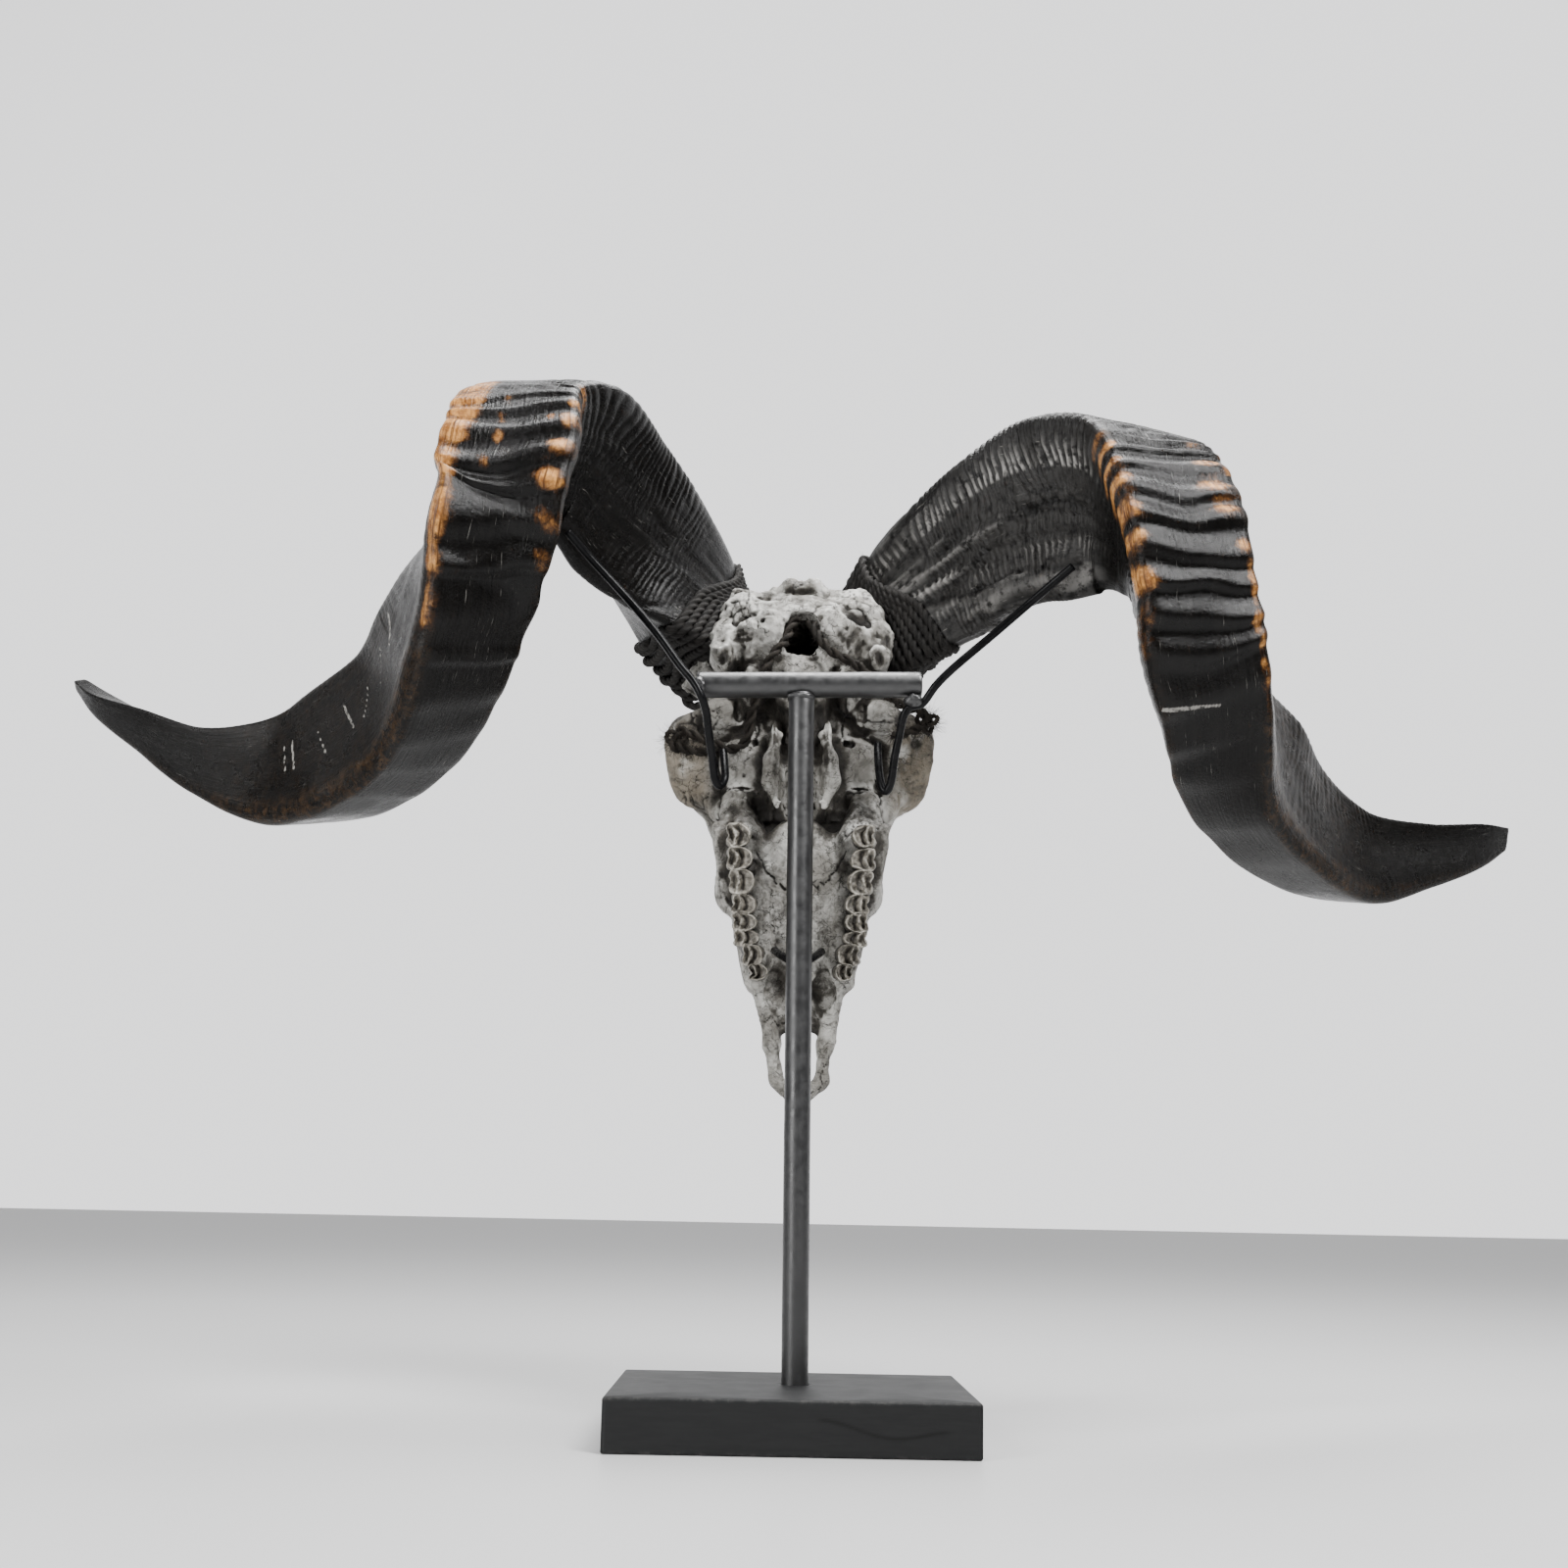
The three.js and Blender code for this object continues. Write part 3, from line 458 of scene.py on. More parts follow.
# Skull shape, as a field: less than 0 inside the bone. The kinds of entry are those of the solids.
# ball: centre, radii, turn in degrees from s towards d, blend
# rod: from, to, radius there and there, blend.  stub: the same with a flat far end
# ring: centre, direction of its hole, radius of the ring, radius of the rim, blend

SKULL_SPANS = ((-95, 95.5), (-68, 242), (-4, 136))
SKULL_TRIANGLES = 190000
FAR = 15.0               # the field's value away from every entry
BONE = [
    ("ball", (0, 4, 78), (36, 44, 37), 0, 10),
    ("ball", (0, -14, 62), (40, 24, 23), -40, 7),
    ("ball", (0, 22, 90), (46, 42, 25), -10, 10),
    ("stub", (18, 6, 96), (51, -16, 92), 29, 28, 8),
    ("rod", (6, -41, 67), (24, -36, 66), 4.5, 5, 3),
    ("rod", (0, -40.5, 66), (8, -41.5, 66), 4.2, 4, 2),
    ("ball", (5.3, -43.5, 66), (4, 4.2, 7), 0, 4),
    ("ball", (0, -42.5, 66), (5, 4.5, 7), 0, 3),
    ("rod", (26, -37, 66), (34, -40, 66), 4.5, 3.2, 2),
    ("rod", (34, -39, 66), (40, -28, 62), 3.6, 4.0, 3),
    ("rod", (40, -28, 60), (45, -12, 51), 4.2, 4.5, 3),
    ("ball", (38, -8, 56), (11, 18, 12), 0, 5),
    ("ball", (30, -28, 61), (11, 9, 12), 0, 6),
    ("rod", (36, -22, 56), (42, -4, 44), 4, 6, 3),
    ("ball", (41.2, -1, 45), (5.2, 7.5, 10.6), 0, 3),
    ("rod", (36, 36, 50), (54, 40, 56), 5.5, 5.5, 3),
    ("ball", (17, -17, 43), (7.5, 10, 7.5), 0, 2),
    ("ball", (25, -9, 47), (12, 14, 8), 20, 4),
    ("rod", (14, -27, 50), (26, -22, 54), 3, 3, 3),
    ("ball", (0, 7, 43), (15, 12, 9), 0, 3),
    ("ball", (7, 10, 37), (5, 5, 4), 0, 3),
    ("ball", (0, 26, 47), (14, 34, 10), -4, 6),
    ("ball", (9, 19, 39), (5, 8, 5), 0, 4),
    ("rod", (3, 24, 38), (7, 44, 37), 2, 2, 3),
    ("ball", (26, 15, 45), (8, 12, 9), 0, 3),
    ("rod", (24, 8, 40), (31, 20, 40), 2.5, 2, 2),
    ("ball", (41, 27, 47), (13, 8, 7), 0, 3),
    ("rod", (33, 33, 43), (50, 34, 46), 3, 3, 3),
    ("ball", (16, 52, 54), (22, 26, 12), 0, 6),
    ("ball", (14, 56, 39), (3, 24, 14), 0, 3),
    ("rod", (11, 41, 33), (16, 54, 28), 2.2, 3.4, 2),
    ("rod", (16, 54, 28), (16.8, 66, 26), 3.4, 3.6, 2),
    ("rod", (16.8, 66, 26), (12, 79, 24), 3.2, 1.6, 2),
    ("rod", (12.5, 78.5, 24), (9.8, 76, 23.5), 1.5, 0.8, 1),
    ("ball", (29, 55, 45), (15, 15, 8), 0, 3),
    ("rod", (34, 78, 38), (33, 98, 26), 9, 11, 8),
    ("rod", (43.6, 90, 20), (39.6, 124, 18), 2.4, 2.0, 1.5),
    ("rod", (48, 27, 54), (62, 33, 60), 6.5, 5.5, 4),
    ("ball", (52, 56, 66), (19, 24, 13), -12, 6),
    ("rod", (52, 66, 60), (43, 80, 46), 8, 7, 6),
    ("ring", (57, 52, 80), (0.86, 0.2, 0.46), 23, 5, 4),
    ("rod", (28, 40, 98), (50, 46, 100), 12, 8, 8),
    ("ball", (34, 80, 74), (18, 22, 20), 0, 8),
    ("rod", (9, 55, 88), (10, 112, 76), 15, 12, 8),
    ("rod", (10, 112, 76), (7, 172, 52), 12, 7, 8),
    ("rod", (18, 72, 62), (14, 124, 52), 24, 20, 10),
    ("rod", (14, 124, 52), (14, 162, 38), 20, 12, 10),
    ("rod", (32, 98, 25), (21.5, 169, 21), 12.5, 8, 8),
    ("ball", (37.5, 123, 28), (7, 12, 8), 0, 6),
    ("ball", (0, 130, 26), (26, 46, 9), 0, 6),
    ("ball", (0, 182, 26), (17, 20, 5), 0, 5),
    ("rod", (19.5, 165, 26), (14, 205, 20), 6.5, 4.2, 5),
    ("rod", (14, 205, 20), (11.5, 222, 18), 4.2, 4, 4),
    ("rod", (11.5, 222, 18), (2, 230, 17), 4.2, 5, 4),
    ("rod", (15, 202, 23), (17, 165, 46), 3.4, 5, 5),
]
HOLLOW = [
    ("ball", (0, -12.5, 44), (11.2, 12, 15), -45, 1.2),
    ("ball", (0, 0, 66), (22, 28, 22), 0, 3),
    ("ball", (64, 54, 84), (19, 20, 19), 0, 3),
    ("ball", (50, 50, 80), (18, 18, 14), 0, 5),
    ("ball", (42, 36, 74), (11, 9, 14), 0, 4),
    ("ball", (0, 68, 34), (9.5, 22, 14), 0, 2),
    ("ball", (21, 78, 22), (3.6, 8, 7), 0, 1.5),
    ("ball", (0, 126, 12), (18, 42, 5), 0, 4),
    ("rod", (0, 130, 42), (0, 235, 34), 9, 15, 3),
    ("rod", (0, 202, 20), (0, 218, 18), 6.5, 7.5, 3),
    ("ball", (13, 175, 19), (5.5, 10, 6), 0, 2),
    ("ball", (13, -38, 51), (9, 4.5, 4.5), -20, 3),
    ("ball", (31, -22, 46), (5, 7, 3), 20, 3),
    ("ball", (24, 4, 37), (5, 8, 6), 0, 2),
    ("ball", (33, -3, 38), (3.4, 8, 5), 0, 2),
    ("ball", (17, -16, 34.5), (4, 6, 2.4), 0, 1.5),
    ("ball", (31, 69, 34), (9, 0.8, 3.6), 0, 1),
    ("rod", (40.9, 93, 13), (37.6, 122, 12.5), 1.1, 1.0, 0.5),
    ("ball", (17, 26, 42), (3.5, 11, 6), 0, 2),
    ("ball", (33, 26, 41), (2.6, 7, 4), 0, 1.5),
    ("ball", (11, 93, 17), (1.3, 1.6, 4), 0, 0.5),
    ("ball", (24, 44, 40), (1.6, 1.4, 5), 0, 0.5),
]
# Open joints between bones, as lines over the underside: places (x, s), and the least and most d
SUTURES = [
    ([(0, 121), (3.5, 122), (6, 119.5), (8.5, 122.5), (11, 119), (13, 120), (15, 116), (18, 113),
      (20.5, 108), (23, 103)], -5, 24),
    ([(0, 96), (0, 121), (0, 165)], -5, 24),
    ([(23, 20), (24.5, 28), (22, 36), (24, 45)], 30, 52),
    ([(24, 72), (28, 70.5), (33, 71), (37, 69), (42, 70.5)], 15, 45),
    ([(5, 12), (11, 11), (17, 13.5), (23, 9)], 30, 50),
    ([(40, 62), (43, 68), (42.6, 76), (43.4, 86)], 20, 60),
    ([(28, -38), (30, -30), (35, -26), (37, -19)], 40, 75),
]
# Pits: place (x, s, d), radius and depth
PITS = [
    ((-17, 94, 18), 1.0, 1.8), ((-21, -20, 37), 1.3, 1.6),
    ((24, -16, 41), 1.2, 1.4), ((-38, -24, 54), 1.6, 2.4), ((9, -30, 50), 1.2, 1.4), ((27, 44, 40), 1.8, 2.2),
    ((-30, 62, 40), 1.1, 1.4), ((-34, 78, 18), 1.2, 1.6), ((29, 80, 18), 1.1, 1.6),
]
# the braincase's inside, which is painted black as shade: middle and radii
BRAIN = (0, 0, 66), (23.5, 29.5, 23.5)
# Carved scrolls on the forehead and nose, on both sides: middle (x, s), outer radius
SCROLLS = [
    ((13.5, 33), 9), ((12, 55), 8.2), ((11, 76), 7.4), ((10, 95), 6.6), ((8.8, 112), 5.8), ((7.6, 127), 5),
    ((6.5, 140), 4.2),
]
# Places painted darker on both sides, as painted shade beside the teeth and in hollows, and as dirt: place
# (x, s, d), how far round it, and how much
SHADE_AND_DIRT = [
    ((29, 14, 42), 15, 0.35), ((13, 26, 38), 13, 0.42), ((31, 84, 23), 14, 0.42), ((21, 76, 26), 10, 0.3),
    ((36, 98, 12), 10, 0.5), ((35, 113, 12), 10, 0.5), ((32, 129, 12), 10, 0.5), ((29, 146, 12), 10, 0.45),
    ((25, 160, 12), 9, 0.4), ((20, 52, 50), 16, 0.22), ((28, 50, 37), 12, 0.15), ((0, 40, 38), 14, 0.3),
    ((0, -30, 55), 12, 0.15), ((22, 108, 18), 9, 0.25), ((14, 90, 20), 9, 0.3), ((15, 56, 30), 16, 0.28),
    ((24.5, 98, 16), 7, 0.3), ((23.5, 112, 16), 7, 0.3), ((22, 126, 16), 7, 0.3), ((21.5, 139, 16), 7, 0.3),
    ((41.5, 90, 15), 5.5, 0.28), ((40.6, 98, 15), 5.5, 0.28), ((39.8, 106, 15), 5.5, 0.28),
    ((39, 114, 15), 5.5, 0.28), ((38, 122, 15), 5.5, 0.28), ((37, 130, 15), 5.5, 0.28),
]


def entry_box(entry):
    """Lowest and highest corner that an entry can change."""
    reach = entry[-1] + 3
    if entry[0] == "ball":
        centre, radii = np.array(entry[1], float), np.array(entry[2], float)
        half = np.array([radii[0], max(radii[1:]), max(radii[1:])])
        return centre - half - reach, centre + half + reach
    if entry[0] == "ring":
        centre = np.array(entry[1], float)
        half = entry[3] + entry[4] + reach
        return centre - half, centre + half
    ends = np.array([entry[1], entry[2]], float)
    half = max(entry[3], entry[4]) + reach
    return ends.min(0) - half, ends.max(0) + half


def entry_distance(entry, places):
    """Distance of places, as three arrays, from an entry's surface."""
    kind, origin = entry[:2]
    offset = [place - start for place, start in zip(places, origin)]

    if kind == "ball":
        radii, angle = entry[2], math.radians(entry[3])
        across, along, above = offset
        turned = (across, along * math.cos(angle) + above * math.sin(angle),
                  above * math.cos(angle) - along * math.sin(angle))
        near = np.sqrt(sum((value / radius) ** 2 for value, radius in zip(turned, radii)))
        steep = np.sqrt(sum((value / radius**2) ** 2 for value, radius in zip(turned, radii))) + 1e-9
        return near * (near - 1) / steep
    if kind == "ring":
        _, _, direction, radius, rim, _ = entry
        axis = np.array(direction) / np.linalg.norm(direction)
        height = sum(value * part for value, part in zip(offset, axis))
        flat = np.sqrt(np.maximum(sum(value**2 for value in offset) - height**2, 0))
        return np.hypot(flat - radius, height) - rim
    _, _, end, from_radius, to_radius, _ = entry
    axis = np.array(end, float) - origin
    run = sum(value * part for value, part in zip(offset, axis)) / (axis @ axis)
    share = np.clip(run, 0, 1)
    away = np.sqrt(sum((value - share * part) ** 2 for value, part in zip(offset, axis)))
    distance = away - (from_radius + (to_radius - from_radius) * share)
    if kind == "stub":
        return np.maximum(distance, (run - 1) * np.linalg.norm(axis))
    return distance


def carve_field(axes):
    """Field of the bone without its hollows, both sides of x = 0, on a grid given by its three axes."""
    field = np.full([len(axis) for axis in axes], FAR, np.float32)
    mirrored = [np.abs(axes[0]), *axes[1:]]
    for sign, table in ((1, BONE), (-1, HOLLOW)):
        for entry in table:
            spans = [np.nonzero((axis >= low) & (axis <= high))[0]
                     for axis, low, high in zip(mirrored, *entry_box(entry))]
            if not all(map(len, spans)):
                continue
            blend = entry[-1]
            for run in np.split(spans[0], np.nonzero(np.diff(spans[0]) > 1)[0] + 1):
                window = tuple(slice(span[0], span[-1] + 1) for span in (run, *spans[1:]))
                other = entry_distance(entry, np.ix_(*(axis[part] for axis, part in zip(mirrored, window))))
                solid = sign * field[window]
                overlap = np.maximum(blend - np.abs(solid - other), 0) / blend
                field[window] = sign * (np.minimum(solid, other) - overlap**2 * blend / 4)
    return field


def surface_nets(field):
    """Closed quads around field < 0 on a grid of step 1, with one point in each crossed cell."""
    cells = np.array(field.shape) - 1
    total = np.zeros((*cells, 3), np.float32)
    count = np.zeros(cells, np.int16)
    for axis in range(3):
        others = [other for other in range(3) if other != axis]
        lines, counts, totals = (np.moveaxis(array, axis, 0) for array in (field, count, total))
        a, b = lines[:-1], lines[1:]
        crossed = (a < 0) != (b < 0)
        share = np.where(crossed, a / np.where(crossed, a - b, 1), 0)
        for corner in np.ndindex(2, 2):
            window = (slice(None), *(slice(at, at + cells[other]) for at, other in zip(corner, others)))
            hit = crossed[window]
            counts += hit
            totals[..., axis] += np.where(hit, share[window], 0)
            for at, other in zip(corner, others):
                totals[..., other] += hit * at
    used = count > 0
    index = np.full(cells, -1)
    index[used] = np.arange(used.sum())
    faces = []
    for axis in range(3):
        others = [other for other in range(3) if other != axis]
        window = [slice(1, -1)] * 3
        window[axis] = slice(None)
        inside = field[tuple(window)] < 0
        corner = np.argwhere(np.diff(inside, axis=axis))
        outward = inside[tuple(corner.T)] != (axis == 1)
        corner[:, others] += 1
        quad = np.stack([index[tuple((corner - np.insert(back, axis, 0)).T)]
                         for back in ((1, 1), (0, 1), (0, 0), (1, 0))], 1)
        quad[~outward] = quad[~outward][:, ::-1]
        faces.append(quad)
    return total[used] / count[used][:, None] + np.argwhere(used), np.concatenate(faces)


def largest_body(points, faces):
    """Keeps the connected body with the most points."""
    label = np.arange(len(points))
    pairs = np.concatenate([faces[:, [k, k + 1]] for k in range(3)])
    while True:
        lowest = np.minimum(label[pairs[:, 0]], label[pairs[:, 1]])
        fresh = label.copy()
        np.minimum.at(fresh, pairs[:, 0], lowest)
        np.minimum.at(fresh, pairs[:, 1], lowest)
        fresh = fresh[fresh]
        if np.array_equal(fresh, label):
            break
        label = fresh
    keep = label == np.bincount(label).argmax()
    index = np.cumsum(keep) - 1
    return points[keep], index[faces[keep[faces[:, 0]]]]


def to_row(points):
    return SKULL_ORIGIN + points @ SKULL_AXES


def line_distance(places, line):
    """Distance from places (x, s) to a bent line, both mirrored over x = 0."""
    across, s = np.abs(places[:, 0]), places[:, 1]
    least = np.full(len(places), 99.0)
    for (x0, s0), (x1, s1) in zip(line, line[1:]):
        dx, ds = x1 - x0, s1 - s0
        share = np.clip(((across - x0) * dx + (s - s0) * ds) / (dx * dx + ds * ds), 0, 1)
        least = np.minimum(least, np.hypot(across - x0 - share * dx, s - s0 - share * ds))
    return least


def carved_lines():
    """The carving as lines through (x, s): a spiral at each place, with a fan of short leaf strokes."""
    lines = []
    for number, ((x, s), reach) in enumerate(SCROLLS):
        strokes = [(reach * np.linspace(1.0, 0.2, 32), np.linspace(-0.25, 1.25, 32) * TURN)]
        share = np.linspace(1.2, 1.75, 4)
        strokes += [(reach * share, leaf + 0.35 * (share - 1.2)) for leaf in np.radians((-50, -15, 20, 55))]
        way = 1 if number % 2 else -1
        lines += [np.stack([x + radius * np.cos(turn), s + way * radius * np.sin(turn)], 1)
                  for radius, turn in strokes]
    return lines


def skull_relief(points, normals):
    """How far each point is pushed out, and how dark it is painted: cracks and joints, and painted shade in
    pits, carved grooves and pores.
    """
    def noise(size, seed):
        return lattice_noise(points, size, seed)

    x, s, d = points.T
    side = np.abs(x)
    # rough round the neck hole, on the cheeks and on the palate
    rough = 0.35 + 0.65 * smooth_step(34, 0, s)
    cheek = smooth_step(16, 8, np.abs(side - 28)) * smooth_step(62, 72, s) * smooth_step(104, 92, s)
    rough = np.maximum(rough, cheek * smooth_step(50, 40, d))
    palate = smooth_step(20, 10, side) * smooth_step(20, 40, s) * smooth_step(95, 75, s)
    rough = np.maximum(rough, 0.7 * palate)
    push = 0.8 * noise(26, 1) + 0.5 * noise(9, 2)
    # sharp crests with smooth hollows between them
    crests = np.abs(noise(11, 6)) + 0.7 * np.abs(noise(6, 7)) + 0.4 * np.abs(noise(3.4, 15))
    push -= rough * 1.9 * (crests - 0.6)
    push += rough * (0.35 * noise(4.2, 3) + 0.40 * noise(2.0, 4))
    # chips and short gouges, in a direction that wanders over the bone
    bent = points * (1, 0.45, 1) + 2.0 * noise(20, 16)[:, None]
    push -= rough * 0.9 * smooth_step(0.45, 0.65, lattice_noise(bent, 2.8, 5))
    wander = noise(17, 8) + 0.35 * noise(5, 9)
    crack = 0.85 * smooth_step(0.050, 0.012, np.abs(wander)) * smooth_step(-0.1, 0.25, noise(30, 10))
    jagged = points[:, :2] + 1.1 * np.stack([noise(2.6, 11), noise(2.6, 12)], 1)
    facing = smooth_step(0.3, -0.2, normals[:, 2])
    for line, low, high in SUTURES:
        inside = smooth_step(low - 2, low + 2, d) * smooth_step(high + 2, high - 2, d)
        crack = np.maximum(crack, smooth_step(0.65, 0.25, line_distance(jagged, line)) * inside * facing)
    for place, radius, depth in PITS:
        away = np.linalg.norm((points - place) * (1, 1, 0.35), axis=1)
        pit = smooth_step(1.5 * radius, 0.5 * radius, away)
        push -= depth * pit
        # the pit's inside is painted dark, as painted shade
        crack = np.maximum(crack, pit * 0.9)
    # the carving on the forehead side
    front = np.nonzero((normals[:, 2] > 0.3) & (d > 48) & (s > 18) & (side < 32))[0]
    least = np.min([line_distance(points[front], line) for line in carved_lines()], axis=0)
    groove = smooth_step(1.3, 0.4, least) * smooth_step(0.3, 0.55, normals[front, 2])
    push[front] += 0.3 - groove
    # the carved grooves are painted dark, as painted shade
    crack[front] = np.maximum(crack[front] * 0.4, 0.65 * groove)
    push -= 0.9 * crack
    # spongy cut ends beside the neck hole
    oval = np.hypot((side - 41.2 - 0.25 * s) / 3.3, (s + 0.5) / 5.2)
    low_side = smooth_step(41, 39, d)
    cut = smooth_step(1.0, 0.8, oval) * low_side
    push += cut * (-1.6 + 0.8 * noise(1.6, 13))
    push += smooth_step(0.35, 0.0, np.abs(oval - 1.15)) * low_side * 0.4
    # the spongy ends are speckled dark, as painted shade in their pores
    return push, np.maximum(crack, 0.45 * cut * smooth_step(-0.3, 0.6, noise(1.8, 14)))


def build_skull(material):
    axes = [np.arange(low, high, dtype=np.float32) for low, high in SKULL_SPANS]
    low = np.array([axis[0] for axis in axes])
    field = carve_field(axes)
    points, faces = surface_nets(field)
    points, faces = largest_body(points + low, faces)
    normals = mesh_normals(points, faces)
    push, crack = skull_relief(points, normals)
    points = points + normals * push[:, None]

    def open_share(reach):
        """How open the space is at a distance from the skin: 1 beside flat bone, less in a hollow."""
        place = np.clip(points + normals * reach - low, 0, np.array(field.shape) - 1.001)
        cell = place.astype(int)
        return corner_blend(field, cell, place - cell) / reach

    x, s, d = points.T
    side = np.abs(x)
    # painted shade: darker where bone closes in round a point, as in hollows, crevices and between parts, and
    # in the relief's dips
    cavity = 0.5 * smooth_step(0.85, 0.2, open_share(2)) + 0.45 * smooth_step(0.85, 0.2, open_share(5))
    cavity += 0.45 * smooth_step(0.7, 0.0, open_share(11)) + 0.12 * smooth_step(0.3, -1.2, push)
    # painted shade and dirt at the listed darker places
    for place, reach, strength in SHADE_AND_DIRT:
        away = np.sqrt(sum((value - at) ** 2 for value, at in zip((side, s, d), place)))
        cavity += strength * smooth_step(reach, 0.45 * reach, away)
    # painted shadow: the inside of the braincase is painted black
    brain = sum(((value - at) / radius) ** 2 for value, at, radius in zip((x, s, d), *BRAIN))
    cavity = np.maximum(cavity, 2.2 * (brain < 1.1))
    # painted highlight: how much each point lies on a crest or a sharp edge, for the pale tint
    ridge = smooth_step(0.85, 0.3, open_share(-2.5)) + 0.5 * smooth_step(0.4, 1.3, push)
    stain = smooth_step(44, 54, side) * smooth_step(20, 40, s) * smooth_step(100, 80, s)
    stain *= smooth_step(80, 60, d)
    values = {"cavity": cavity, "ridge": np.clip(ridge, 0, 1), "stain": stain, "crack": crack}
    piece = new_piece("skull_bone", (to_row(points), [faces], values), material, "skull")
    thin_out(piece, SKULL_TRIANGLES / (2 * len(faces)))


# Cheek teeth. Each lobe: place x and s, length along the row, width.

TOOTH_LOBES = [
    (33.0, 95.4, 12.6, 14.0), (32.4, 107.4, 12.0, 15.0), (31.2, 119.0, 13.2, 15.0), (29.6, 130.2, 11.0, 14.8),
    (29.4, 139.4, 10.6, 14.4), (28.6, 147.6, 9.0, 14.6), (25.2, 156.2, 11.4, 13.6), (22.4, 165.0, 9.2, 11.4),
]
CROWN_TOP = 1.0           # d of the chewing surface
CROWN_HEIGHT = 17.0
TOOTH_RINGS = 34
TOOTH_AROUND = 56
TOOTH_WOBBLES = ((5, 1.0), (2, 0.55), (1.1, 0.3))   # size of the bumps, reach
CROWN_DROPS = 8           # rings down the walls
RIM_SHARE = 0.97          # share of a lobe inside which the crown's relief lies


def tooth_lobe(side, lobe, seed):
    """One crescent-shaped lobe: crown relief on top, grooved walls below, closed underneath."""
    x, s, length, width = lobe
    angle = np.linspace(0, TURN, TOOTH_AROUND, endpoint=False)
    # rounded towards the palate, hollow with two points towards the cheek
    outer = np.arccos(np.cos(angle) * side)
    outline = 1 - 0.42 * peak(outer, 0.55) + 0.10 * peak(outer - 1.0, 0.3)
    flat = TOOTH_RINGS - CROWN_DROPS - 2
    shares = np.concatenate([np.linspace(0.04, 0.94, flat), [0.98, 1.0], np.ones(CROWN_DROPS)])
    drops = np.concatenate([np.zeros(flat), [0.4, 1.1], np.linspace(2.5, CROWN_HEIGHT, CROWN_DROPS)])
    share, turn = np.meshgrid(shares, angle, indexing="ij")
    drop = drops[:, None] + 0 * share
    u = share * np.cos(turn) * outline
    v = share * np.sin(turn) * outline
    # an enamel rim, and a crescent pit painted dark as shade, with a rim of its own
    crest = np.maximum(peak(share - 0.90, 0.07), 0.85 * peak(u * side - 0.06 - 0.40 * v**2, 0.10))
    pit = peak(u * side + 0.30 - 0.45 * v**2, 0.13) * smooth_step(0.9, 0.6, np.abs(v))
    pit = np.maximum(pit, 0.8 * peak(u * side - 0.36, 0.14) * smooth_step(0.6, 0.3, np.abs(v)))
    top = np.where(share < RIM_SHARE, 1.4 * crest - 1.8 * pit * (1 - crest), 0) * (drop == 0)
    rings = np.stack([side * x + u * width / 2, s + v * length / 2, CROWN_TOP + drop - top], -1)
    points = rings.reshape(-1, 3)
    wobble = [sum(reach * lattice_noise(points, size, seed + 50 * layer + 7 * axis)
                  for layer, (size, reach) in enumerate(TOOTH_WOBBLES)) for axis in range(3)]
    points = points + np.stack(wobble, 1) * (0.8, 0.6, 1.0)
    # painted shade: the pits, and the walls darker further below the crown
    cavity = np.maximum(np.clip(pit * 0.9 * (drop == 0), 0, 1), smooth_step(1.5, 6, drop))
    ridge = np.clip(crest, 0, 1) * (drop < 1) * 0.9
    return ring_skin(points.reshape(rings.shape), cavity=cavity, ridge=ridge)


def build_teeth(material):
    lobes = [tooth_lobe(side, lobe, 100 + number * 2 + (side > 0))
             for side in (-1, 1) for number, lobe in enumerate(TOOTH_LOBES)]
    points, faces, values = join(lobes)
    new_piece("cheek_teeth", (to_row(points), faces, values), material)


# Horns. Each station: middle x y z, width of the front face, depth, turn of the section in degrees.

